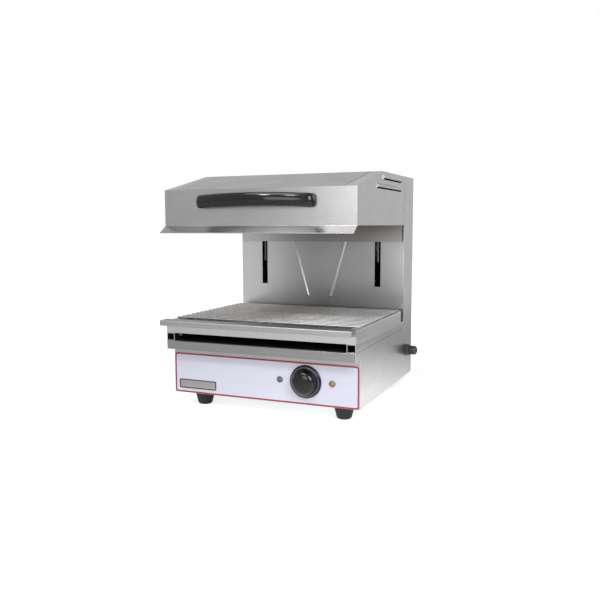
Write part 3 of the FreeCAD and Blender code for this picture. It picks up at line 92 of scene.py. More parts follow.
def local(point: Vector) -> Vector:
    """Millimetres off the collar's front at worktop level, from metres in the frame."""
    return point / MM - SHIFT


def linear(colour: str) -> tuple[float, float, float, float]:
    """Turns an sRGB hex colour to linear.

    Args:
        colour: Six hex digits after a hash sign.

    Returns:
        Red, green, blue and a full alpha.
    """
    parts = [int(colour[start:start + 2], 16) / 255 for start in (1, 3, 5)]
    red, green, blue = [
        part / 12.92 if part <= 0.04045 else ((part + 0.055) / 1.055) ** 2.4 for part in parts
    ]
    return red, green, blue, 1.0


def add(
    tree: bpy.types.NodeTree, kind: str, inputs: dict[Any, Any] | None = None, **settings: Any
) -> bpy.types.Node:
    """Adds a shader node with its settings, its values and its links.

    Args:
        tree: The material's or world's node tree.
        kind: The node's type without the word ShaderNode.
        inputs: Socket names or numbers with a value, or with the output that feeds them.
        settings: The node's own settings.

    Returns:
        The new node.
    """
    item = tree.nodes.new(f"ShaderNode{kind}")
    for name, value in settings.items():
        setattr(item, name, value)
    for name, value in (inputs or {}).items():
        if isinstance(value, bpy.types.NodeSocket):
            tree.links.new(value, item.inputs[name])
        else:
            item.inputs[name].default_value = value
    return item


# Finishes


@dataclass(frozen=True)
class Finish:
    """One real surface, from which a material is made once."""

    name: str

    def material(self) -> bpy.types.Material:
        """The material of this finish.

        Returns:
            The material, made at the first call and then shared.
        """
        found = bpy.data.materials.get(self.name)
        if found:
            return found
        made = bpy.data.materials.new(self.name)
        made.use_nodes = True
        tree = made.node_tree
        tree.nodes.clear()
        shader = add(tree, "BsdfPrincipled", self.inputs(tree))
        add(tree, "OutputMaterial", {"Surface": shader.outputs["BSDF"]})
        return made

    def inputs(self, tree: bpy.types.NodeTree) -> dict[str, Any]:
        """The shader's values and links."""
        raise NotImplementedError


def mottle(tree: bpy.types.NodeTree, spacing: Point, detail: float = 3.0) -> Socket:
    """An irregular pattern on the piece's own coordinates.

    Args:
        tree: The material's node tree.
        spacing: The size of one grain along X, Y and Z, in millimetres.
        detail: How many finer layers lie on it.

    Returns:
        The pattern's factor.
    """
    coordinates = add(tree, "TexCoord").outputs["Object"]
    scale = tuple(1 / (size * MM) for size in spacing)
    placed = add(tree, "Mapping", {"Vector": coordinates, "Scale": scale}).outputs["Vector"]
    values = {"Vector": placed, "Scale": 1.0, "Detail": detail, "Roughness": 0.6}
    return add(tree, "TexNoise", values).outputs["Fac"]


def surface(
    tree: bpy.types.NodeTree,
    colour: tuple[Socket, str, str],
    gloss: tuple[Socket, float, float] | None = None,
    relief: tuple[Socket, float, float] | None = None,
) -> dict[str, Any]:
    """Turns patterns into what a shader needs for an uneven surface.

    Args:
        tree: The material's node tree.
        colour: A pattern, and the sRGB hex colours where it is low and where it is high.
        gloss: A pattern, and the roughness where it is low and where it is high.
        relief: A pattern, the depth of its bump in millimetres, and the bump's strength.

    Returns:
        The links by socket.
    """
    pattern, dark, light = colour
    share = add(tree, "MapRange", {"Value": pattern, **PATTERN_SPAN}).outputs["Result"]
    mixing = {0: share, 6: linear(dark), 7: linear(light)}
    links = {"Base Color": add(tree, "Mix", mixing, data_type="RGBA").outputs[2]}
    if gloss:
        pattern, low, high = gloss
        span = {"Value": pattern, **PATTERN_SPAN, "To Min": low, "To Max": high}
        links["Roughness"] = add(tree, "MapRange", span).outputs["Result"]
    if relief:
        pattern, depth, strength = relief
        bump = {"Height": pattern, "Distance": depth * MM, "Strength": strength}
        links["Normal"] = add(tree, "Bump", bump).outputs["Normal"]
    return links


def seen_strength(tree: bpy.types.NodeTree, eye: Any, gloss: Any, light: Any) -> Socket:
    """A strength that differs by who looks.

    Args:
        tree: The floor's or the world's node tree.
        eye: The strength for the camera and through clear materials, a number or an output.
        gloss: The strength in reflections.
        light: The strength as light on matt surfaces.

    Returns:
        The greatest strength that applies.
    """
    path = add(tree, "LightPath").outputs
    clear = add(
        tree, "Math", {0: path["Is Camera Ray"], 1: path["Is Transmission Ray"]}, operation="MAXIMUM"
    )
    direct = add(tree, "Math", {0: clear.outputs[0], 1: eye}, operation="MULTIPLY")
    mirrored = add(tree, "Math", {0: path["Is Glossy Ray"], 1: gloss}, operation="MULTIPLY")
    either = add(tree, "Math", {0: direct.outputs[0], 1: mirrored.outputs[0]}, operation="MAXIMUM")
    return add(tree, "Math", {0: either.outputs[0], 1: light}, operation="MAXIMUM").outputs[0]


@dataclass(frozen=True)
class BrushedStainless(Finish):
    """Stainless 304 sheet with a directional No. 4 grain: fine streaks and a soft, cloudy sheen.

    The grit-180 lines are about 0.1 mm apart, too fine to show, so they are drawn 0.9 mm apart.

    Attributes:
        grain: The way that the lines run.
        dark: The sRGB hex colour of the dark lines.
        light: And of the light ones.
        dulling: Least and greatest roughness.
        spacing: Millimetres between two lines as drawn.
        streak: Millimetres that one line runs on.
    """

    grain: Direction = Direction.ACROSS
    dark: str = "#9C9B9B"
    light: str = "#A6A5A5"
    dulling: tuple[float, float] = (0.25, 0.33)
    spacing: float = 0.9
    streak: float = 90.0

    def inputs(self, tree: bpy.types.NodeTree) -> dict[str, Any]:
        """Grain in colour and bump, clouds in roughness.

        Args:
            tree: The material's node tree.

        Returns:
            The shader's values and links by socket.
        """
        lines = tuple(self.streak if along else self.spacing for along in self.grain.value)
        grain = mottle(tree, lines)
        clouds = mottle(tree, (70.0, 70.0, 50.0), 2.0)
        return {"Metallic": 1.0} | surface(
            tree,
            colour=(grain, self.dark, self.light),
            gloss=(clouds, *self.dulling),
            relief=(grain, 0.02, 0.3),
        )


@dataclass(frozen=True)
class PaintedShadeStainless(BrushedStainless):
    """Brushed stainless with painted shade: towards a middle its colour darkens to grey, standing in
    for shadow and dark reflections.
    """

    painted_shade: str = "#878686"
    middle: Point = (65.0, 373.0, 300.0)
    reach: Point = (280.0, 400.0, 400.0)

    def inputs(self, tree: bpy.types.NodeTree) -> dict[str, Any]:
        """The brushed sheet with a soft round painted shade over its colour.

        Args:
            tree: The material's node tree.

        Returns:
            The shader's values and links by socket.
        """
        values = super().inputs(tree)
        coordinates = add(tree, "TexCoord").outputs["Object"]
        off = add(tree, "VectorMath", {0: coordinates, 1: at(*self.middle)}, operation="SUBTRACT")
        size = tuple(1 / (reach * MM) for reach in self.reach)
        scaled = add(tree, "VectorMath", {0: off.outputs[0], 1: size}, operation="MULTIPLY")
        # A round painted shade, darkest at the middle and gone beyond the reach.
        painted_shade = add(tree, "TexGradient", {"Vector": scaled.outputs[0]}, gradient_type="SPHERICAL")
        fading = {"Value": painted_shade.outputs["Fac"], "From Max": 0.75}
        share = add(tree, "MapRange", fading, interpolation_type="SMOOTHSTEP").outputs["Result"]
        mixing = {0: share, 6: values["Base Color"], 7: linear(self.painted_shade)}
        values["Base Color"] = add(tree, "Mix", mixing, data_type="RGBA").outputs[2]
        return values


@dataclass(frozen=True)
class AluminisedSteel(Finish):
    """Hot-dipped aluminised sheet: pale, slightly mottled, with heat stains in large patches."""

    def inputs(self, tree: bpy.types.NodeTree) -> dict[str, Any]:
        """Stains in colour and mottling in roughness.

        Args:
            tree: The material's node tree.

        Returns:
            The shader's values and links by socket.
        """
        stains = mottle(tree, (55.0, 55.0, 30.0))
        spangle = mottle(tree, (4.0, 4.0, 4.0))
        return {"Metallic": 1.0} | surface(
            tree,
            colour=(stains, "#9C948A", "#BDBCBB"),
            gloss=(spangle, 0.3, 0.45),
            relief=(spangle, 0.03, 1.0),
        )


@dataclass(frozen=True)
class ZincPlate(Finish):
    """Galvanised steel, bluish grey with a spangle of about 5 mm, or a dark grey that paints the
    lift arms' shade.
    """

    dark: str = "#8D9296"
    light: str = "#ABB0B4"

    def inputs(self, tree: bpy.types.NodeTree) -> dict[str, Any]:
        """Spangle in colour and roughness.

        Args:
            tree: The material's node tree.

        Returns:
            The shader's values and links by socket.
        """
        spangle = mottle(tree, (5.0, 5.0, 5.0), 1.0)
        return {"Metallic": 1.0} | surface(
            tree,
            colour=(spangle, self.dark, self.light),
            gloss=(spangle, 0.35, 0.5),
            relief=(spangle, 0.02, 1.0),
        )


@dataclass(frozen=True)
class PlatedMetal(Finish):
    """Nickel plate, chrome, foil or ground steel: bright, slightly dulled in patches of 9 mm."""

    dark: str = "#A3A19F"
    light: str = "#BDBCBB"
    gloss: tuple[float, float] = (0.3, 0.42)

    def inputs(self, tree: bpy.types.NodeTree) -> dict[str, Any]:
        """Dull patches in colour and roughness.

        Args:
            tree: The material's node tree.

        Returns:
            The shader's values and links by socket.
        """
        patches = mottle(tree, (9.0, 9.0, 9.0))
        return {"Metallic": 1.0} | surface(
            tree,
            colour=(patches, self.dark, self.light),
            gloss=(patches, *self.gloss),
        )


@dataclass(frozen=True)
class CoiledWire(Finish):
    """Oil-hardened spring wire of 2 mm, wound close, with painted shade between the turns and
    painted highlights on their crests.

    Attributes:
        pitch: Millimetres from turn to turn.
        wave_base: What the wave texture multiplies its scale by.
    """

    pitch: float = 2.4
    wave_base: float = 20.0

    def inputs(self, tree: bpy.types.NodeTree) -> dict[str, Any]:
        """One band of colour and bump per turn; the colour paints shade and a highlight on each.

        Args:
            tree: The material's node tree.

        Returns:
            The shader's values and links by socket.
        """
        coordinates = add(tree, "TexCoord").outputs["Object"]
        scale = math.tau / (self.wave_base * self.pitch * MM)
        wave = {"Vector": coordinates, "Scale": scale}
        turns = add(tree, "TexWave", wave, bands_direction="Z").outputs["Fac"]
        # The dark and pale bands paint shade between the turns and a highlight on their crests.
        return {"Metallic": 1.0, "Roughness": 0.35} | surface(
            tree,
            colour=(turns, "#1F2022", "#85878A"),
            relief=(turns, 1.0, 1.0),
        )


@dataclass(frozen=True)
class VitreousEnamel(Finish):
    """Black vitreous enamel on steel: dusty and satin, with a faint orange peel of about 3 mm; its
    black partly paints the shade in the tray slot.
    """

    def inputs(self, tree: bpy.types.NodeTree) -> dict[str, Any]:
        """Orange peel in bump, dust in colour.

        Args:
            tree: The material's node tree.

        Returns:
            The shader's values and links by socket.
        """
        peel = mottle(tree, (3.0, 3.0, 3.0), 1.0)
        dust = mottle(tree, (35.0, 35.0, 35.0))
        return surface(
            tree,
            colour=(dust, "#0C0C0D", "#1A1918"),
            gloss=(dust, 0.32, 0.5),
            relief=(peel, 0.03, 1.0),
        )


@dataclass(frozen=True)
class SheathedElement(Finish):
    """Oxidised alloy sheath of a tubular element: matt, dark, with brown heat bands."""

    def inputs(self, tree: bpy.types.NodeTree) -> dict[str, Any]:
        """Heat bands in colour, scale in bump.

        Args:
            tree: The material's node tree.

        Returns:
            The shader's values and links by socket.
        """
        bands = mottle(tree, (40.0, 12.0, 12.0))
        scale = mottle(tree, (1.2, 1.2, 1.2))
        return {"Metallic": 0.6} | surface(
            tree,
            colour=(bands, "#2B2826", "#4E453E"),
            gloss=(scale, 0.5, 0.7),
            relief=(scale, 0.05, 1.0),
        )


@dataclass(frozen=True)
class CeramicFibre(Finish):
    """Needled ceramic-fibre mat: off-white, matt, with loose fibres."""

    def inputs(self, tree: bpy.types.NodeTree) -> dict[str, Any]:
        """Fibres in colour and bump.

        Args:
            tree: The material's node tree.

        Returns:
            The shader's values and links by socket.
        """
        fibres = mottle(tree, (6.0, 1.5, 1.5), 5.0)
        return {"Roughness": 0.95} | surface(
            tree,
            colour=(fibres, "#D8D3C4", "#F1EEE4"),
            relief=(fibres, 0.6, 1.0),
        )


@dataclass(frozen=True)
class MouldedPlastic(Finish):
    """Moulded plastic: even colour with a fine spark-eroded texture and slight handling gloss."""

    dark: str = "#151517"
    light: str = "#202022"
    gloss: tuple[float, float] = (0.3, 0.42)
    texture: float = 0.8
    depth: float = 0.012
    ior: float = 1.5

    def inputs(self, tree: bpy.types.NodeTree) -> dict[str, Any]:
        """Texture in bump, handling in roughness.

        Args:
            tree: The material's node tree.

        Returns:
            The shader's values and links by socket.
        """
        patches = mottle(tree, (18.0, 18.0, 18.0), 2.0)
        texture = mottle(tree, (self.texture,) * 3, 1.0)
        return {"IOR": self.ior} | surface(
            tree,
            colour=(patches, self.dark, self.light),
            gloss=(patches, *self.gloss),
            relief=(texture, self.depth, 1.0),
        )


@dataclass(frozen=True)
class LensPlastic(Finish):
    """Tinted acrylic lamp lens: smooth and a quarter clear, with a tint that is a little uneven."""

    dark: str = "#2F5046"
    light: str = "#65867A"

    def inputs(self, tree: bpy.types.NodeTree) -> dict[str, Any]:
        """Uneven tint in colour.

        Args:
            tree: The material's node tree.

        Returns:
            The shader's values and links by socket.
        """
        tint = mottle(tree, (4.0, 4.0, 4.0), 1.0)
        return {"Roughness": 0.12, "IOR": 1.49, "Transmission Weight": 0.25} | surface(
            tree,
            colour=(tint, self.dark, self.light),
        )


@dataclass(frozen=True)
class SinteredBronze(Finish):
    """Oil-filled sintered bronze: warm, matt, with fine pores."""

    def inputs(self, tree: bpy.types.NodeTree) -> dict[str, Any]:
        """Pores in colour and bump.

        Args:
            tree: The material's node tree.

        Returns:
            The shader's values and links by socket.
        """
        pores = mottle(tree, (0.8, 0.8, 0.8), 1.0)
        return {"Metallic": 1.0, "Roughness": 0.5} | surface(
            tree,
            colour=(pores, "#7A5A2C", "#A88248"),
            relief=(pores, 0.03, 1.0),
        )


@dataclass(frozen=True)
class LacqueredPanel(Finish):
    """Aluminium control panel in a pale lilac-white stoving lacquer: satin with fine orange peel."""

    def inputs(self, tree: bpy.types.NodeTree) -> dict[str, Any]:
        """Orange peel of about 2 mm in bump, faint clouds in colour.

        Args:
            tree: The material's node tree.

        Returns:
            The shader's values and links by socket.
        """
        clouds = mottle(tree, (120.0, 60.0, 60.0), 1.0)
        peel = mottle(tree, (2.2, 2.2, 2.2), 1.0)
        return {"IOR": 1.5} | surface(
            tree,
            colour=(clouds, "#C8C9D8", "#D0D0DD"),
            gloss=(clouds, 0.3, 0.38),
            relief=(peel, 0.015, 1.0),
        )


@dataclass(frozen=True)
class ScreenPrint(Finish):
    """Screen-printed ink: flat, satin and slightly uneven in cover."""

    dark: str = "#8B2C3D"
    light: str = "#9C3E50"

    def inputs(self, tree: bpy.types.NodeTree) -> dict[str, Any]:
        """Ink cover in colour and bump.

        Args:
            tree: The material's node tree.

        Returns:
            The shader's values and links by socket.
        """
        cover = mottle(tree, (3.0, 3.0, 3.0), 2.0)
        return {"Roughness": 0.4} | surface(
            tree,
            colour=(cover, self.dark, self.light),
            relief=(cover, 0.01, 1.0),
        )


@dataclass(frozen=True)
class StudioFloor(Finish):
    """Matt white studio floor: lifted to white for the camera, it keeps the shadow.

    Attributes:
        lift: Strength for the camera near the pool's middle.
        far_lift: And far from it.
        gloss_lift: Strength in reflections at the pool's middle.
        far_gloss_lift: And far from it.
        pool: The pool's middle, in millimetres off the collar's front.
        near: Metres from the middle over which the pool's gloss fades.
        far: Metres over which the far gloss rises.
        wide: Metres over which the camera's strength rises.
    """

    lift: float = 0.65
    far_lift: float = 1.0
    gloss_lift: float = 1.0
    far_gloss_lift: float = 0.6
    pool: Point = (372.0, 213.0, 0.0)
    near: tuple[float, float] = (0.15, 0.85)
    far: tuple[float, float] = (0.85, 2.6)
    wide: tuple[float, float] = (0.4, 1.4)

    def inputs(self, tree: bpy.types.NodeTree) -> dict[str, Any]:
        """A white that the camera sees lifted, and gloss in a pool beside the grill and far off.

        Args:
            tree: The material's node tree.

        Returns:
            The shader's values and links by socket.
        """
        coordinates = add(tree, "TexCoord").outputs["Object"]
        off = add(tree, "VectorMath", {0: coordinates, 1: at(*self.pool)}, operation="DISTANCE")
        reach = off.outputs["Value"]
        near, far, eye = [
            add(tree, "MapRange", {
                "Value": reach, "From Min": begin, "From Max": stop, "To Min": low, "To Max": high,
            }).outputs[0]
            for (begin, stop), low, high in (
                (self.near, self.gloss_lift, 0.0),
                (self.far, 0.0, self.far_gloss_lift),
                (self.wide, self.lift, self.far_lift),
            )
        ]
        gloss = add(tree, "Math", {0: near, 1: far}, operation="MAXIMUM").outputs[0]
        return {
            "Base Color": linear("#F4F4F4"),
            "Roughness": 0.9,
            "Specular IOR Level": 0.1,
            "Emission Color": linear("#FFFFFF"),
            "Emission Strength": seen_strength(tree, eye, gloss, 0.0),
        }


STEEL_ACROSS = BrushedStainless("brushed_stainless_across")
# The sheets whose grain runs back are paler than the rest: painted light on the sides.
STEEL_BACK_LIT = BrushedStainless("brushed_stainless_back_painted_light", Direction.BACK, "#B0AFAF", "#BAB9B9")
STEEL_UP = BrushedStainless("brushed_stainless_up", Direction.UP, "#9E9D9D", "#A8A7A7")
# Sheets painted darker round a middle as the shade under the hood and dark reflections, the column
# less than the hood's rear plate; the column's paler base paints its brighter reflections.
STEEL_COLUMN = PaintedShadeStainless(
    "brushed_stainless_column", Direction.UP, "#BBBABA", "#C3C2C2", (0.27, 0.35)
)
# The beads' paler, rougher sheet, kept out of the column's painted shade, paints the highlight on
# their crowns.
STEEL_BEAD_HIGHLIGHT = BrushedStainless("bead_painted_highlight", Direction.UP, "#ABAAAA", "#B7B6B6", (0.38, 0.46))
STEEL_SHADED = PaintedShadeStainless(
    "brushed_stainless_painted_shade", Direction.UP, "#AAA9A9", "#B2B1B1", (0.27, 0.35), painted_shade="#757370"
)
# The tray's lip is painted darker as shade and is the dullest sheet, and its flanks are painted
# paler as light.
STEEL_TRAY = BrushedStainless(
    "brushed_stainless_tray", Direction.ACROSS, "#979696", "#A1A0A0", (0.4, 0.5)
)
STEEL_FLANK_LIT = BrushedStainless("brushed_stainless_flank_painted_light", Direction.BACK, "#C2C1C1", "#CCCBCB")
# The collar is painted darker as the shade under the tray's lip.
STEEL_COLLAR_SHADED = BrushedStainless("brushed_stainless_collar_painted_shade", Direction.ACROSS, "#878686", "#919090")
BADGE_METAL = BrushedStainless("brushed_badge_metal", Direction.ACROSS, "#A19D9E", "#ADA9AA")
ALUMINISED = AluminisedSteel("aluminised_steel")
ZINC = ZincPlate("galvanised_steel")
WIRE = PlatedMetal("nickel_plated_wire")
# The lift arms' dark grey is painted shade inside the column's slots.
ARM_SHADE = ZincPlate("lift_arm_painted_shade", "#55565A", "#66676B")
GROUND = PlatedMetal("ground_bright_steel", "#B4B4B5", "#CFCFD0", (0.16, 0.28))
SPRING = CoiledWire("wound_spring_wire")
# Black enamel whose black also paints the shade seen in the tray slot.
ENAMEL_AND_SLOT_SHADE = VitreousEnamel("black_enamel_and_slot_shade")
SHEATH = SheathedElement("oxidised_element_sheath")
FIBRE = CeramicFibre("ceramic_fibre_mat")
# Polished black mouldings: nearly mirror-smooth, with a low IOR that keeps reflections weak.
BAKELITE = MouldedPlastic("black_phenolic", "#060607", "#0C0C0E", (0.08, 0.15), 1.5, 0.003, 1.42)
HANDLE_PLASTIC = MouldedPlastic(
    "black_gloss_polyamide", "#060607", "#0C0C0D", (0.08, 0.15), 1.5, 0.003, 1.42
)
REGULATOR_PLASTIC = MouldedPlastic("black_housing_plastic")
BLOCK_PLASTIC = MouldedPlastic("cream_polyamide", "#D6D0BF", "#E4DFD1", (0.45, 0.55))
GLAND_PLASTIC = MouldedPlastic("dark_grey_polyamide", "#2A2B2D", "#353639", (0.32, 0.45))
BEZEL_PLASTIC = PlatedMetal("chromed_abs_bezel", "#7F8285", "#9EA1A4", (0.18, 0.28))
RUBBER = MouldedPlastic("black_nitrile_rubber", "#0B0B0C", "#141414", (0.6, 0.8), 1.2, 0.05)
GREEN = LensPlastic("green_acrylic_lens")
ORANGE = LensPlastic("orange_acrylic_lens", "#8A5A32", "#BF9260")
BRONZE = SinteredBronze("sintered_bronze")
PANEL = LacqueredPanel("pale_stoving_lacquer")
RED_INK = ScreenPrint("red_screen_print")
BLACK_INK = ScreenPrint("black_screen_print", "#1E1E20", "#2C2C2E")
SILVER_FOIL = PlatedMetal("silver_foil_ring", "#606063", "#77777A", (0.3, 0.4))
FLOOR = StudioFloor("matt_white_floor")


# Modelling by operators


def deselect() -> None:
    """Leaves edit mode and selects nothing."""
    if bpy.context.object and bpy.context.object.mode != "OBJECT":
        bpy.ops.object.mode_set(mode="OBJECT")
    bpy.ops.object.select_all(action="DESELECT")


def hold(piece: bpy.types.Object) -> None:
    """Makes one piece the only selected one and the active one.

    Args:
        piece: The piece.
    """
    deselect()
    piece.select_set(True)
    bpy.context.view_layer.objects.active = piece


def open_up(piece: bpy.types.Object, mode: str = "FACE") -> None:
    """Enters edit mode on one piece with nothing selected.

    Args:
        piece: The piece.
        mode: VERT, EDGE or FACE.
    """
    hold(piece)
    bpy.ops.object.mode_set(mode="EDIT")
    bpy.ops.mesh.select_mode(type=mode)
    bpy.ops.mesh.select_all(action="DESELECT")


def close_up() -> None:
    """Goes back to object mode."""
    bpy.ops.object.mode_set(mode="OBJECT")


def pick_faces(piece: bpy.types.Object, wanted: PairTest) -> None:
    """Selects faces in edit mode.

    Args:
        piece: The piece in edit mode.
        wanted: A test of a face's centre, in metres, and its normal.
    """
    shape = bmesh.from_edit_mesh(piece.data)
    for face in shape.faces:
        face.select_set(wanted(face.calc_center_median(), face.normal))
    bmesh.update_edit_mesh(piece.data)


def pick_edges(piece: bpy.types.Object, wanted: PairTest) -> None:
    """Selects edges in edit mode.

    Args:
        piece: The piece in edit mode.
        wanted: A test of an edge's two ends, in metres.
    """
    shape = bmesh.from_edit_mesh(piece.data)
    for edge in shape.edges:
        edge.select_set(wanted(edge.verts[0].co, edge.verts[1].co))
    bmesh.update_edit_mesh(piece.data)


def sink(depth: float) -> None:
    """Presses the selected faces in by a depth in millimetres."""
    move = {"value": -depth * MM}
    bpy.ops.mesh.extrude_region_shrink_fatten(TRANSFORM_OT_shrink_fatten=move)


def apply_modifiers(piece: bpy.types.Object) -> None:
    """Applies every modifier of a piece.

    Args:
        piece: The piece.
    """
    hold(piece)
    for modifier in list(piece.modifiers):
        bpy.ops.object.modifier_apply(modifier=modifier.name)


def smooth(piece: bpy.types.Object, degrees: float = 30.0) -> None:
    """Shades a piece smooth up to an angle."""
    hold(piece)
    bpy.ops.object.shade_smooth_by_angle(angle=math.radians(degrees))


def settle(piece: bpy.types.Object, name: str) -> bpy.types.Object:
    """Names a new piece and puts its place into its mesh.

    Args:
        piece: The piece.
        name: Its name and its mesh's.

    Returns:
        The piece.
    """
    hold(piece)
    bpy.ops.object.transform_apply(location=True, rotation=True, scale=True)
    piece.name = name
    piece.data.name = name
    return piece


def lifted(node: str, name: str) -> bpy.types.Object:
    """Copies a CAD node's mesh into a new piece and merges its loose triangles into clean faces.

    Args:
        node: The CAD node.
        name: The new piece's name.

    Returns:
        The new piece, which the node's own mesh isn't tied to.
    """
    piece = bpy.data.objects.new(name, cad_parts[node].data.copy())
    bpy.context.scene.collection.objects.link(piece)
    open_up(piece, "VERT")
    bpy.ops.mesh.select_all(action="SELECT")
    bpy.ops.mesh.customdata_custom_splitnormals_clear()
    bpy.ops.mesh.remove_doubles(threshold=WELD)
    bpy.ops.mesh.dissolve_limited(angle_limit=math.radians(FLAT_DEGREES))
    close_up()
    return piece


def round_edges(
    piece: bpy.types.Object,
    cut: float = 0.25,
    fold: float = 2.0,
    is_fold: PairTest | None = None,
    least: float = 28.0,
) -> None:
    """Rounds a piece's cut edges a little and its fold lines with the bend's radius.

    Args:
        piece: The piece, merged.
        cut: Radius of a cut edge in millimetres.
        fold: Radius of a fold line in millimetres.
        is_fold: Test of an edge's ends, in millimetres off the collar's front.
        least: Smallest angle in degrees of an edge that is rounded.
    """
    shape = bmesh.new()
    shape.from_mesh(piece.data)
    weights = shape.edges.layers.float.new("bevel_weight_edge")
    for edge in shape.edges:
        if len(edge.link_faces) != 2:
            continue
        angle = math.degrees(abs(edge.calc_face_angle_signed()))
        ends = local(edge.verts[0].co), local(edge.verts[1].co)
        if is_fold and is_fold(*ends) and angle > FOLD_DEGREES:
            edge[weights] = 1.0
        elif angle > least:
            edge[weights] = cut / fold
    shape.to_mesh(piece.data)
    shape.free()
    rounding = piece.modifiers.new("rounding", "BEVEL")
    rounding.limit_method = "WEIGHT"
    rounding.width = fold * MM
    rounding.segments = ROUNDING_STEPS
    rounding.miter_outer = "MITER_ARC"
    apply_modifiers(piece)


def even_out(piece: bpy.types.Object) -> None:
    """Keeps flat faces flat in the shading beside their rounded edges.

    Args:
        piece: The piece.
    """
    hold(piece)
    bpy.ops.object.shade_smooth_by_angle(angle=math.radians(SHEET_DEGREES))
    weighted = piece.modifiers.new("weighted", "WEIGHTED_NORMAL")
    weighted.keep_sharp = True
    weighted.weight = SHEET_WEIGHT
    apply_modifiers(piece)


def turned(
    name: str, profile: Iterable[tuple[float, float]], centre: Point, axis: Point, steps: int = 64
) -> bpy.types.Object:
    """Spins a profile about an axis.

    Args:
        name: The piece's name.
        profile: Radius and distance along the axis of each point, in millimetres, from end to end.
        centre: The axis's start, in millimetres off the collar's front.
        axis: The axis's direction, along X, Y or Z.
        steps: Faces round the axis.

    Returns:
        The closed or ring-shaped piece.
    """
    along = Vector(axis)
    aside = Vector((0, 0, 1)) if abs(along.z) < 0.5 else Vector((1, 0, 0))
    start = at(*centre)
    places = [start + along * (reach * MM) + aside * (radius * MM) for radius, reach in profile]
    deselect()
    bpy.ops.mesh.primitive_plane_add(size=0.002, location=places[0])
    piece = bpy.context.object
    settle(piece, name)
    open_up(piece, "VERT")
    bpy.ops.mesh.select_all(action="SELECT")
    bpy.ops.mesh.merge(type="CENTER")
    for before, after in zip(places, places[1:]):
        bpy.ops.mesh.extrude_vertices_move(TRANSFORM_OT_translate={"value": after - before})
    bpy.ops.mesh.select_all(action="SELECT")
    bpy.ops.mesh.spin(steps=steps, angle=math.tau, center=start, axis=along)
    bpy.ops.mesh.select_all(action="SELECT")
    bpy.ops.mesh.remove_doubles(threshold=WELD)
    bpy.ops.mesh.normals_make_consistent(inside=False)
    close_up()
    return piece


def swept(
    name: str, rail: Iterable[Point], half_width: float, half_height: float
) -> bpy.types.Object:
    """Sweeps an upright oval along a nearly level rail.

    Args:
        name: The piece's name.
        rail: Control points of the section's middle from end to end, in millimetres.
        half_width: Half the oval's width in millimetres.
        half_height: Half its height.

    Returns:
        The closed piece.
    """
    deselect()
    bpy.ops.curve.primitive_bezier_circle_add(radius=MM)
    oval = bpy.context.object
    oval.data.resolution_u = 10
    oval.scale = (half_width, half_height, 1.0)
    bpy.ops.object.transform_apply(location=False, rotation=False, scale=True)
    deselect()
    bpy.ops.curve.primitive_nurbs_path_add()
    piece = bpy.context.object
    curve = piece.data
    curve.splines.clear()
    spline = curve.splines.new("NURBS")
    places = [at(*point) for point in rail]
    spline.points.add(len(places) - 1)
    for knot, place in zip(spline.points, places):
        knot.co = (*place, 1.0)
    spline.use_endpoint_u = True
    spline.order_u = 4
    curve.twist_mode = "Z_UP"
    curve.resolution_u = 8
    curve.bevel_mode = "OBJECT"
    curve.bevel_object = oval
    curve.use_fill_caps = True
    bpy.ops.object.convert(target="MESH")
    settle(piece, name)
    hold(oval)
    bpy.ops.object.delete()
    open_up(piece, "VERT")
    bpy.ops.mesh.select_all(action="SELECT")
    bpy.ops.mesh.remove_doubles(threshold=WELD)
    bpy.ops.mesh.normals_make_consistent(inside=False)
    close_up()
    return piece


def plate(name: str, low: Point, high: Point, corner: float) -> bpy.types.Object:
    """A thin plate facing the front with round corners.

    Args:
        name: The piece's name.
        low: The lowest corner at the plate's front, in millimetres.
        high: The highest corner at the plate's back, in millimetres.
        corner: Radius of the corners in millimetres.

    Returns:
        The plate.
    """
    bottom, top = at(*low), at(*high)
    middle = (bottom + top) / 2
    deselect()
    bpy.ops.mesh.primitive_cube_add(size=1, location=middle)
    piece = bpy.context.object
    piece.scale = top - bottom
    settle(piece, name)
    open_up(piece, "EDGE")
    pick_edges(piece, lambda one, two: abs(one.y - two.y) > 0.5 * (top.y - bottom.y))
    bpy.ops.mesh.bevel(offset=corner * MM, segments=6, affect="EDGES")
    close_up()
    return piece


# Sub-assemblies


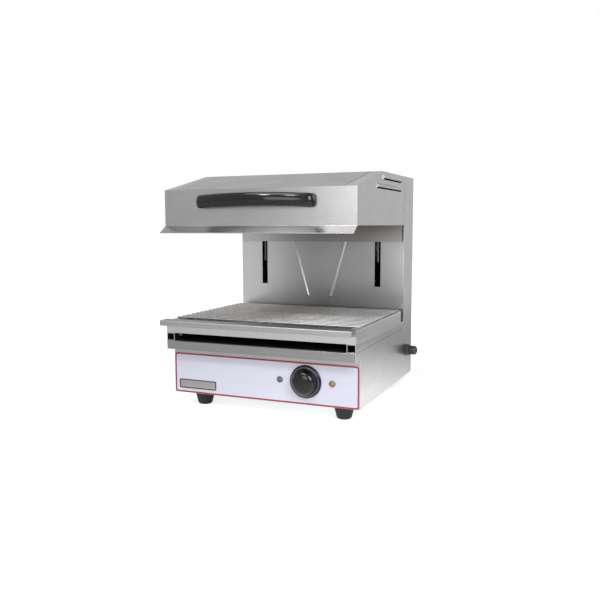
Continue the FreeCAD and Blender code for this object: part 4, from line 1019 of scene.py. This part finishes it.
@dataclass
class SubAssembly:
    """Pieces that move with one body.

    Attributes:
        body: The CAD body that they ride on.
    """

    body: str

    def dress(
        self, piece: bpy.types.Object, finish: Finish, slot: str, nodes: Iterable[str] = ()
    ) -> bpy.types.Object:
        """Gives a new piece its finish and its body.

        Args:
            piece: The new piece.
            finish: Its finish.
            slot: Not used.
            nodes: CAD nodes that it stands for.

        Returns:
            The piece.
        """
        piece.data.materials.clear()
        piece.data.materials.append(finish.material())
        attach(piece, self.body)
        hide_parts(*nodes)
        log.info("%s rides on %s", piece.name, self.body)
        return piece

    def carry(self, finish: Finish, *nodes: str) -> None:
        """Gives CAD nodes a better material.

        Args:
            finish: The finish.
            nodes: The CAD nodes, which keep their shape.
        """
        for node in nodes:
            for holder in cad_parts[node].material_slots:
                holder.material = finish.material()
            log.info("%s keeps its CAD shape", node)

    def second(self, piece: bpy.types.Object, finish: Finish, wanted: PairTest) -> None:
        """Gives some faces of a dressed piece a second finish.

        Args:
            piece: The dressed piece.
            finish: The second finish.
            wanted: Test of a face's centre, in millimetres off the collar's front, and its normal.
        """
        piece.data.materials.append(finish.material())
        for face in piece.data.polygons:
            if wanted(local(face.center), face.normal):
                face.material_index = 1

    def sheet(
        self,
        node: str,
        finish: Finish,
        is_fold: PairTest | None = None,
        cut: float = 0.25,
        fold: float = 2.0,
        least: float = 28.0,
        slot: str = "brushed_stainless",
    ) -> bpy.types.Object:
        """Makes a CAD node into a piece with rounded cut edges and fold lines.

        Args:
            node: The CAD node, which the piece replaces.
            finish: The finish.
            is_fold: Test of an edge's ends for a fold line.
            cut: Radius of the cut edges in millimetres.
            fold: Radius of the fold lines in millimetres.
            least: Smallest angle in degrees of an edge that is rounded.
            slot: Not used, only passed on.

        Returns:
            The new piece.
        """
        piece = lifted(node, f"{node}_shell")
        round_edges(piece, cut, fold, is_fold, least)
        even_out(piece)
        return self.dress(piece, finish, slot, [node])


def on_line(one: Vector, two: Vector, axes: str, values: tuple[float, float]) -> bool:
    """Whether both ends of an edge lie at two given coordinates.

    Args:
        one: One end in millimetres.
        two: The other end.
        axes: The two axes, such as yz.
        values: The coordinate on each.

    Returns:
        True where they do.
    """
    first, second = ("xyz".index(axis) for axis in axes)
    return all(
        abs(end[first] - values[0]) < SAME and abs(end[second] - values[1]) < SAME
        for end in (one, two)
    )


@dataclass
class BaseBox(SubAssembly):
    """The boxed base with its collar, rails, feet and electrical entry."""

    body: str = "grill_body"
    collar_low: float = 139.0
    base_top: float = 158.5
    rail_top: float = 176.5
    rail_inner: float = 205.0
    gland_y: float = 403.0
    gland_z: float = 100.0
    cap_steps: int = 48
    groove_depth: float = 0.6
    groove_span: tuple[float, float] = (10.2, 21.8)
    groove_radius: float = 10.8
    least_along: float = 1.0

    def build(self) -> None:
        """Dresses the base from the worktop up."""
        # The side panels take the paler sheet: painted light.
        self.sheet("side_panel_left", STEEL_BACK_LIT)
        self.sheet("side_panel_right", STEEL_BACK_LIT)
        # The collar's darker sheet is painted shade.
        self.sheet("base_top", STEEL_COLLAR_SHADED, self.is_collar_fold, fold=1.6)
        self.sheet("tray_rail_left", STEEL_BACK_LIT, self.is_rail_corner)
        self.sheet("tray_rail_right", STEEL_BACK_LIT, self.is_rail_corner)
        self.carry(STEEL_ACROSS, "base_front")
        # The heat shield's black is partly painted shade in the slot.
        self.carry(ENAMEL_AND_SLOT_SHADE, "heat_shield")
        self.carry(ZINC, "base_pan", "foot_screws")
        self.carry(BLOCK_PLASTIC, "terminal_block")
        self.carry(GLAND_PLASTIC, "gland_nut")
        self.feet()
        self.gland()

    def is_collar_fold(self, one: Vector, two: Vector) -> bool:
        """Whether an edge is one of the collar's two folds."""
        low = on_line(one, two, "yz", (0.0, self.collar_low))
        return low or on_line(one, two, "yz", (0.0, self.base_top))

    def is_rail_corner(self, one: Vector, two: Vector) -> bool:
        """Whether an edge is an outer corner of a rail's tube.

        Args:
            one: One end in millimetres.
            two: The other end.

        Returns:
            True for a corner that runs along the rail.
        """
        ends = (one, two)
        level = all(
            min(abs(end.z - self.base_top), abs(end.z - self.rail_top)) < SAME for end in ends
        )
        outer = all(
            min(abs(abs(end.x) - self.rail_inner), abs(abs(end.x) - HALF)) < SAME for end in ends
        )
        return level and outer and abs(one.y - two.y) > self.least_along

    def feet(self) -> None:
        """Four rubber feet with soft edges."""
        for node in ("foot_front_left", "foot_front_right", "foot_rear_left", "foot_rear_right"):
            piece = lifted(node, f"{node}_rubber")
            round_edges(piece, cut=0.8, fold=0.8)
            smooth(piece, 40)
            self.dress(piece, RUBBER, "foot_rubber", [node])

    def gland(self) -> None:
        """Cable gland: a hexagon flange and a domed cap with grip grooves."""
        body = lifted("gland_body", "gland_flange")
        round_edges(body, cut=0.5, fold=0.5)
        smooth(body, 40)
        self.dress(body, GLAND_PLASTIC, "grey_plastic", ["gland_body"])
        profile = [
            (7.6, 9.5), (11.0, 9.5), (11.4, 10.0), (11.4, 22.0), (11.1, 24.2), (10.2, 26.2),
            (8.8, 27.7), (7.0, 28.5), (5.4, 28.5), (5.0, 28.1), (5.0, 19.4), (7.6, 19.4), (7.6, 9.5),
        ]
        place = (HALF, self.gland_y, self.gland_z)
        cap = turned("gland_dome", profile, place, (1, 0, 0), self.cap_steps)
        middle = at(*place)
        open_up(cap)
        pick_faces(cap, lambda centre, normal: self.is_groove(centre - middle, normal))
        sink(self.groove_depth)
        close_up()
        smooth(cap, 40)
        self.dress(cap, GLAND_PLASTIC, "grey_plastic", ["gland_cap"])

    def is_groove(self, offset: Vector, normal: Vector) -> bool:
        """Whether a face of the cap is every third one round its straight part.

        Args:
            offset: The face's centre from the gland's seat, in metres.
            normal: Its normal.

        Returns:
            True for a face that is pressed in.
        """
        around = math.atan2(offset.z, offset.y) / math.tau * self.cap_steps
        low, high = self.groove_span
        straight = low < offset.x / MM < high and abs(normal.x) < 0.1
        outside = Vector((0, offset.y, offset.z)).length > self.groove_radius * MM
        return straight and outside and int(math.floor(around + 0.001)) % 3 == 0


@dataclass
class ControlPanel(SubAssembly):
    """The fascia with its printed border, blank plate, lamps, and the knob on its shaft."""

    body: str = "grill_body"
    half: float = 223.5
    low: float = 34.3
    high: float = 127.0
    border: float = 3.8
    inset: float = 0.2
    line_corner: float = 6.8
    line_height: float = 0.05
    badge_low: tuple[float, float] = (-212.0, 44.8)
    badge_high: tuple[float, float] = (-116.0, 65.5)
    badge_thickness: float = 0.8
    badge_corner: float = 3.0
    badge_rim: float = 2.2
    badge_sink: float = 0.3
    lamp_steps: int = 48
    knob_gap: float = 0.6
    knob_steps: int = 72
    pointer_half: float = 0.8
    pointer_front: float = 25.5
    pointer_back: float = 23.8
    pointer_low: float = 3.0
    pointer_high: float = 17.0
    pointer_corner: float = 0.7

    def build(self) -> None:
        """Dresses the panel from left to right."""
        self.sheet("fascia", PANEL, cut=0.2, fold=0.4, slot="control_panel")
        self.border_line()
        self.blank_plate()
        self.lamp("green", GREEN_X, GREEN, "green_lens")
        self.lamp("orange", ORANGE_X, ORANGE, "orange_lens")
        self.knob()
        self.carry(REGULATOR_PLASTIC, "energy_regulator")
        self.carry(ZINC, "regulator_nut")
        self.carry(GROUND, "regulator_shaft")

    def border_line(self) -> None:
        """Red printed line just inside the panel's edge."""
        edge = self.half - self.inset
        low, high = self.low + self.inset, self.high - self.inset
        start, end = (-edge, PANEL_Y - self.line_height, low), (edge, PANEL_Y, high)
        line = plate("panel_border", start, end, self.line_corner)
        open_up(line)
        pick_faces(line, lambda centre, normal: abs(normal.y) > FACING)
        bpy.ops.mesh.inset(thickness=self.border * MM, depth=0)
        bpy.ops.mesh.bridge_edge_loops()
        close_up()
        smooth(line)
        self.dress(line, RED_INK, "control_panel")

    def blank_plate(self) -> None:
        """Generic bare plate with a raised dark rim."""
        (left, low), (right, high) = self.badge_low, self.badge_high
        start, end = (left, PANEL_Y - self.badge_thickness, low), (right, PANEL_Y, high)
        piece = plate("badge_plate", start, end, self.badge_corner)
        open_up(piece)
        pick_faces(piece, lambda centre, normal: normal.y < -FACING)
        bpy.ops.mesh.inset(thickness=self.badge_rim * MM, depth=0)
        sink(self.badge_sink)
        close_up()
        self.dress(piece, BLACK_INK, "plate_trim")
        field = PANEL_Y - self.badge_thickness + self.badge_sink / 2
        self.second(
            piece, BADGE_METAL, lambda centre, normal: normal.y < -FACING and centre.y > field
        )

    def lamp(self, colour: str, x: float, lens_finish: Finish, slot: str) -> None:
        """One pilot lamp: a bezel on the panel and a domed lens.

        Args:
            colour: The colour in the names of its CAD nodes.
            x: Its place across the panel.
            lens_finish: The lens's finish.
            slot: Not used, only passed on.
        """
        centre = (x, PANEL_Y, CONTROL_Z)
        ring = [
            (0.0, -1.0), (5.6, -1.0), (5.6, -1.9), (5.9, -2.2), (6.4, -2.2), (7.0, -1.8),
            (7.4, -1.1), (7.5, -0.4), (7.5, 0.0), (5.0, 0.0), (5.0, 26.0), (0.0, 26.0),
        ]
        bezel = turned(f"{colour}_lamp_bezel", ring, centre, (0, 1, 0), self.lamp_steps)
        smooth(bezel, 40)
        self.dress(bezel, BEZEL_PLASTIC, "black_plastic", [f"{colour}_lamp_body"])
        dome = [
            (0.0, -4.4), (1.6, -4.3), (3.0, -3.9), (4.2, -3.2), (5.0, -2.3), (5.3, -1.6),
            (5.3, -1.0), (0.0, -1.0),
        ]
        lens = turned(f"{colour}_lamp_dome", dome, centre, (0, 1, 0), self.lamp_steps)
        smooth(lens, 50)
        self.dress(lens, lens_finish, slot, [f"{colour}_lamp_lens"])

    def knob(self) -> None:
        """Knob with a domed skirt, a tapered grip, a thin silver ring and a moulded pointer."""
        rider = SubAssembly("knob")
        centre = (KNOB_X, PANEL_Y - self.knob_gap, CONTROL_Z)
        profile = [
            (3.05, 0.0), (36.0, 0.0), (36.0, -1.4), (35.6, -2.8), (34.6, -4.0), (33.2, -4.8),
            (31.8, -5.0), (29.2, -5.0), (28.5, -5.5), (28.2, -6.6), (27.4, -12.0), (26.4, -15.5),
            (24.9, -18.3), (22.9, -20.4), (20.4, -22.0), (17.0, -23.3), (12.5, -24.2), (6.5, -24.8),
            (0.0, -25.0),
        ]
        grip = turned("knob_grip", profile, centre, (0, 1, 0), self.knob_steps)
        smooth(grip, 40)
        rider.dress(grip, BAKELITE, "black_plastic", ["control_knob"])
        ring_profile = [(30.6, -5.0), (30.6, -5.1), (31.8, -5.1), (31.8, -4.9), (30.6, -5.0)]
        ring = turned("knob_ring", ring_profile, centre, (0, 1, 0), self.knob_steps)
        rider.dress(ring, SILVER_FOIL, "bright_steel")
        left, right = KNOB_X - self.pointer_half, KNOB_X + self.pointer_half
        low = (left, PANEL_Y - self.pointer_front, CONTROL_Z + self.pointer_low)
        high = (right, PANEL_Y - self.pointer_back, CONTROL_Z + self.pointer_high)
        pointer = plate("knob_pointer", low, high, self.pointer_corner)
        rider.dress(pointer, BAKELITE, "black_plastic")


@dataclass
class Column(SubAssembly):
    """The closed column with its slots and beads, and the lift gear's fixed part."""

    body: str = "grill_body"
    front: float = 373.0
    rear: float = 459.0
    screw_x: float = 215.5
    screw_low: float = 70.0
    screw_high: float = 487.5
    screw_rows: int = 4
    bead_least: float = 0.1

    def build(self) -> None:
        """Dresses the column's sheets, screws and rods."""
        # The column's sheet is painted darker towards its middle as shade, on a paler base that
        # paints its reflections.
        front = self.sheet("column_front", STEEL_COLUMN)
        raised = self.front - self.bead_least
        # The beads get a paler sheet: a painted highlight.
        self.second(front, STEEL_BEAD_HIGHLIGHT, lambda centre, normal: centre.y < raised)
        self.sheet("column_top", STEEL_ACROSS)
        self.sheet("rear_cover", STEEL_UP)
        self.carry(ZINC, "lower_cross_member", "upper_cross_member", "stop_collars")
        self.carry(GROUND, "guide_rod_left", "guide_rod_right")
        self.carry(SPRING, "lift_spring_left", "lift_spring_right")
        self.rear_screws()

    def rear_screws(self) -> None:
        """Pan-head screws of the rear cover with a cross recess, modelled once and copied."""
        pitch = (self.screw_high - self.screw_low) / (self.screw_rows - 1)
        rows = [self.screw_low + pitch * step for step in range(self.screw_rows)]
        places = [(side * self.screw_x, z) for side in (-1, 1) for z in rows]
        first = cross_screw("rear_screw_heads", (places[0][0], self.rear, places[0][1]))
        spread(first, [(x - places[0][0], 0.0, z - places[0][1]) for x, z in places[1:]])
        self.dress(first, GROUND, "zinc_steel", ["rear_cover_screws"])


def cross_screw(name: str, at_face: Point) -> bpy.types.Object:
    """One pan-head screw along Y, its head to the rear, with a cross recess.

    Args:
        name: The piece's name.
        at_face: The head's seat, in millimetres.

    Returns:
        The screw.
    """
    profile = [
        (0.0, 2.4), (2.2, 2.3), (3.4, 1.8), (4.0, 0.9), (4.2, 0.0), (2.0, 0.0), (2.0, -9.0),
        (0.0, -9.0),
    ]
    recess_reach, recess_depth, arm_share, steps = 3.0, 0.9, 0.45, 32
    piece = turned(name, profile, at_face, (0, 1, 0), steps)
    middle = at(*at_face)
    open_up(piece)
    pick_faces(
        piece,
        lambda centre, normal: normal.y > FACING
        and (centre - middle).length < recess_reach * MM
        and abs(math.sin(2 * math.atan2(centre.z - middle.z, centre.x - middle.x))) < arm_share,
    )
    sink(recess_depth)
    close_up()
    smooth(piece, 40)
    return piece


def spread(piece: bpy.types.Object, moves: Iterable[Point]) -> None:
    """Copies a piece to more places and joins the copies to it.

    Args:
        piece: The first of them.
        moves: Where each copy goes from it, in millimetres.
    """
    source = piece.data.copy()
    copies = []
    for move in moves:
        copy = bpy.data.objects.new(piece.name, source.copy())
        bpy.context.scene.collection.objects.link(copy)
        copy.data.transform(Matrix.Translation(Vector(move) * MM))
        copies.append(copy)
    hold(piece)
    for copy in copies:
        copy.select_set(True)
    bpy.ops.object.join()


@dataclass
class Hood(SubAssembly):
    """The heated hood, its handle, and the arms and carriages that it rides on."""

    body: str = "hood"
    low: float = 416.0
    face_top: float = 495.0
    face: float = 4.0
    slope_end: float = 184.0
    top: float = 535.5
    handle_z: float = 471.0
    handle_arch: float = 3.4
    handle_reach: float = 130.0
    handle_half_depth: float = 7.5
    handle_half_height: float = 14.2
    least_across: float = 5.0
    least_along: float = 20.0
    roof_slack: float = 0.2

    def build(self) -> None:
        """Dresses the hood from its shell to its lift gear."""
        self.sheet("hood_cover", STEEL_ACROSS, self.is_cover_fold, least=40.0)
        self.sheet("hood_side_left", STEEL_BACK_LIT, self.is_side_fold, least=35.0)
        self.sheet("hood_side_right", STEEL_BACK_LIT, self.is_side_fold, least=35.0)
        # The rear plate's sheet is painted darker towards its middle as shade.
        self.sheet("hood_back", STEEL_SHADED)
        self.sheet("reflector", ALUMINISED)
        self.carry(FIBRE, "insulation_mat")
        for number in (1, 2, 3):
            piece = lifted(f"heating_element_{number}", f"element_tube_{number}")
            smooth(piece, 50)
            self.dress(piece, SHEATH, "element_sheath", [f"heating_element_{number}"])
        self.carry(ZINC, "element_bracket_left", "element_bracket_right", "carriage_left",
                   "carriage_right", "lift_yoke", "hood_screws")
        # The arms' dark grey is painted shade.
        self.carry(ARM_SHADE, "lift_arm_left", "lift_arm_right")
        self.carry(BRONZE, "guide_bushes")
        self.handle()

    def is_cover_fold(self, one: Vector, two: Vector) -> bool:
        """Whether an edge is a fold of the cover: under the face, over it, or at the slope's end.

        Args:
            one: One end in millimetres.
            two: The other end.

        Returns:
            True for one of the three folds.
        """
        if abs(one.x - two.x) < self.least_across:
            return False
        lines = ((self.face, self.low), (self.face, self.face_top), (self.slope_end, self.top))
        return any(on_line(one, two, "yz", line) for line in lines)

    def is_side_fold(self, one: Vector, two: Vector) -> bool:
        """Whether an edge is a side's bend along its seam or its bottom rim.

        Args:
            one: One end in millimetres.
            two: The other end.

        Returns:
            True for a bend.
        """
        outer = all(abs(abs(end.x) - HALF) < SAME for end in (one, two))
        lengthwise = abs(one.y - two.y) > self.least_along
        high = all(self.is_on_roof(end) for end in (one, two))
        low = all(abs(end.z - self.low) < SAME for end in (one, two))
        return outer and lengthwise and (high or low)

    def is_on_roof(self, end: Vector) -> bool:
        """Whether a point lies on the outside of the slope or the top.

        Args:
            end: The point in millimetres.

        Returns:
            True where it does.
        """
        rise = (self.top - self.face_top) / (self.slope_end - self.face)
        level = min(self.face_top + (end.y - self.face) * rise, self.top)
        return abs(end.z - level) < self.roof_slack

    def handle(self) -> None:
        """Bow handle: an oval section swept along the bow and round both shoulders."""
        half = [
            (self.handle_reach, 4.0), (self.handle_reach, -2.0), (self.handle_reach, -9.5),
            (121.0, -11.8), (108.0, -15.0), (90.0, -19.1), (60.0, -24.4), (30.0, -27.5),
        ]
        plan = [(-x, y) for x, y in half] + [(0.0, -28.5)] + half[::-1]
        rail = [
            (x, y, self.handle_z - self.handle_arch * (x / self.handle_reach) ** 2) for x, y in plan
        ]
        grip = swept("hood_handle_grip", rail, self.handle_half_depth, self.handle_half_height)
        smooth(grip, 50)
        self.dress(grip, HANDLE_PLASTIC, "black_plastic", ["hood_handle"])


@dataclass
class Tray(SubAssembly):
    """The pull-out drip tray with its lip and the wire rack on it."""

    body: str = "tray"
    floor: float = 176.5
    rim: float = 205.0
    lip_front: float = -28.0
    lip_low: float = 195.5
    flank_band: float = 1.0
    least_along: float = 5.0

    def build(self) -> None:
        """Dresses the tray and the rack."""
        tray = self.sheet("drip_tray", STEEL_BACK_LIT, self.is_tray_fold)
        # The tray's outer sides get a paler sheet: painted light.
        self.second(tray, STEEL_FLANK_LIT, self.is_flank)
        # The lip's darker sheet is painted shade.
        self.sheet("tray_lip", STEEL_TRAY, self.is_lip_fold, fold=1.6)
        self.carry(STEEL_BACK_LIT, "tray_runners")
        rack = lifted("grill_rack", "rack_wires")
        round_edges(rack, cut=0.6, fold=0.6, least=50.0)
        smooth(rack, 40)
        self.dress(rack, WIRE, "bright_steel", ["grill_rack"])

    def is_flank(self, centre: Vector, normal: Vector) -> bool:
        """Whether a face is on the outside of one of the tray's sides."""
        return abs(centre.x) > HALF - self.flank_band and abs(normal.x) > FACING

    def is_tray_fold(self, one: Vector, two: Vector) -> bool:
        """Whether an edge is an outer bend along the tray's sides.

        Args:
            one: One end in millimetres.
            two: The other end.

        Returns:
            True for a bend at the floor or the rim.
        """
        outer = all(abs(abs(end.x) - HALF) < SAME for end in (one, two))
        level = all(
            min(abs(end.z - self.floor), abs(end.z - self.rim)) < SAME for end in (one, two)
        )
        return outer and level and abs(one.y - two.y) > self.least_along

    def is_lip_fold(self, one: Vector, two: Vector) -> bool:
        """Whether an edge is the lip's lower front bend."""
        return on_line(one, two, "yz", (self.lip_front, self.lip_low))


# Studio


@dataclass
class Studio:
    """A plain pale floor, soft lamps and the camera."""

    floor_half: float = 6.0
    lens: float = 41.76
    sensor: float = 36.0
    eye: Point = (662.0, -1319.4, 416.7)
    heading: float = 22.97
    dip: float = 6.12
    roll: float = -0.15
    room_gloss: float = 0.85
    dim_gloss: float = 0.72
    dim_way: Point = (-0.6, 0.8, 0.0)
    dim_span: tuple[float, float] = (0.4, 0.9)
    room_light: float = 0.13

    def build(self) -> None:
        """Sets up the floor, the light and the view."""
        self.floor()
        self.world()
        self.lamp("key", (1.15, -1.2, 0.95), (0.1, -0.1, 0.2), 0.9, 21.5)
        self.lamp("front", (-0.2, -2.7, 0.75), (0, 0, 0.35), 0.9, 9.5)
        self.lamp("top", (-0.5, -1.2, 2.4), (0, 0, 0.3), 1.1, 18.0)
        self.lamp("left_window", (-0.6, -1.77, 1.88), (0, -0.2, 0.47), 0.22, 8.0)
        self.lamp("right_window", (0.0, -1.88, 1.88), (0, -0.2, 0.47), 0.22, 5.5)
        self.camera()
        bpy.context.scene.view_settings.view_transform = "Standard"

    def floor(self) -> None:
        """Large flat floor under the feet."""
        deselect()
        bpy.ops.mesh.primitive_plane_add(size=self.floor_half * 2, location=(0, 0, 0))
        piece = bpy.context.object
        settle(piece, "studio_floor")
        open_up(piece)
        bpy.ops.mesh.select_all(action="SELECT")
        bpy.ops.mesh.subdivide(number_cuts=3)
        close_up()
        piece.data.materials.append(FLOOR.material())

    def world(self) -> None:
        """White to the camera, softer as light, and dimmer in gloss towards the back left."""
        world = bpy.data.worlds.new("white_studio")
        bpy.context.scene.world = world
        world.use_nodes = True
        tree = world.node_tree
        tree.nodes.clear()
        way = {0: add(tree, "TexCoord").outputs["Generated"], 1: self.dim_way}
        facing = add(tree, "VectorMath", way, operation="DOT_PRODUCT").outputs["Value"]
        start, end = self.dim_span
        span = {"Value": facing, "From Min": start, "From Max": end}
        ends = {"To Min": self.room_gloss, "To Max": self.dim_gloss}
        gloss = add(tree, "MapRange", span | ends).outputs["Result"]
        strength = seen_strength(tree, 1.0, gloss, self.room_light)
        back = add(tree, "Background", {"Color": linear("#FFFFFF"), "Strength": strength})
        add(tree, "OutputWorld", {"Surface": back.outputs["Background"]})

    def lamp(self, name: str, place: Point, target: Point, size: float, power: float) -> None:
        """One soft square lamp.

        Args:
            name: Its name.
            place: Where it stands, in metres.
            target: What it points at.
            size: Its side in metres.
            power: Its power in watts.
        """
        data = bpy.data.lights.new(name, "AREA")
        data.size = size
        data.energy = power
        item = bpy.data.objects.new(name, data)
        bpy.context.scene.collection.objects.link(item)
        item.location = place
        look = Vector(target) - Vector(place)
        item.rotation_euler = look.to_track_quat("-Z", "Y").to_euler()

    def camera(self) -> None:
        """The camera at the photograph's viewing angle."""
        data = bpy.data.cameras.new("camera")
        data.sensor_width = self.sensor
        data.lens = self.lens
        item = bpy.data.objects.new("camera", data)
        bpy.context.scene.collection.objects.link(item)
        turn = (
            Matrix.Rotation(math.radians(self.heading), 4, "Z")
            @ Matrix.Rotation(math.radians(90.0 - self.dip), 4, "X")
            @ Matrix.Rotation(math.radians(self.roll), 4, "Z")
        )
        item.matrix_world = Matrix.Translation(at(*self.eye)) @ turn
        bpy.context.scene.camera = item


def main() -> None:
    """Builds the sub-assemblies in order, then the studio."""
    logging.basicConfig(level=logging.INFO, format="%(name)s: %(message)s")
    for part in (BaseBox(), ControlPanel(), Column(), Hood(), Tray()):
        part.build()
        log.info("%s built", type(part).__name__)
    Studio().build()


if __name__ == "__main__":
    main()
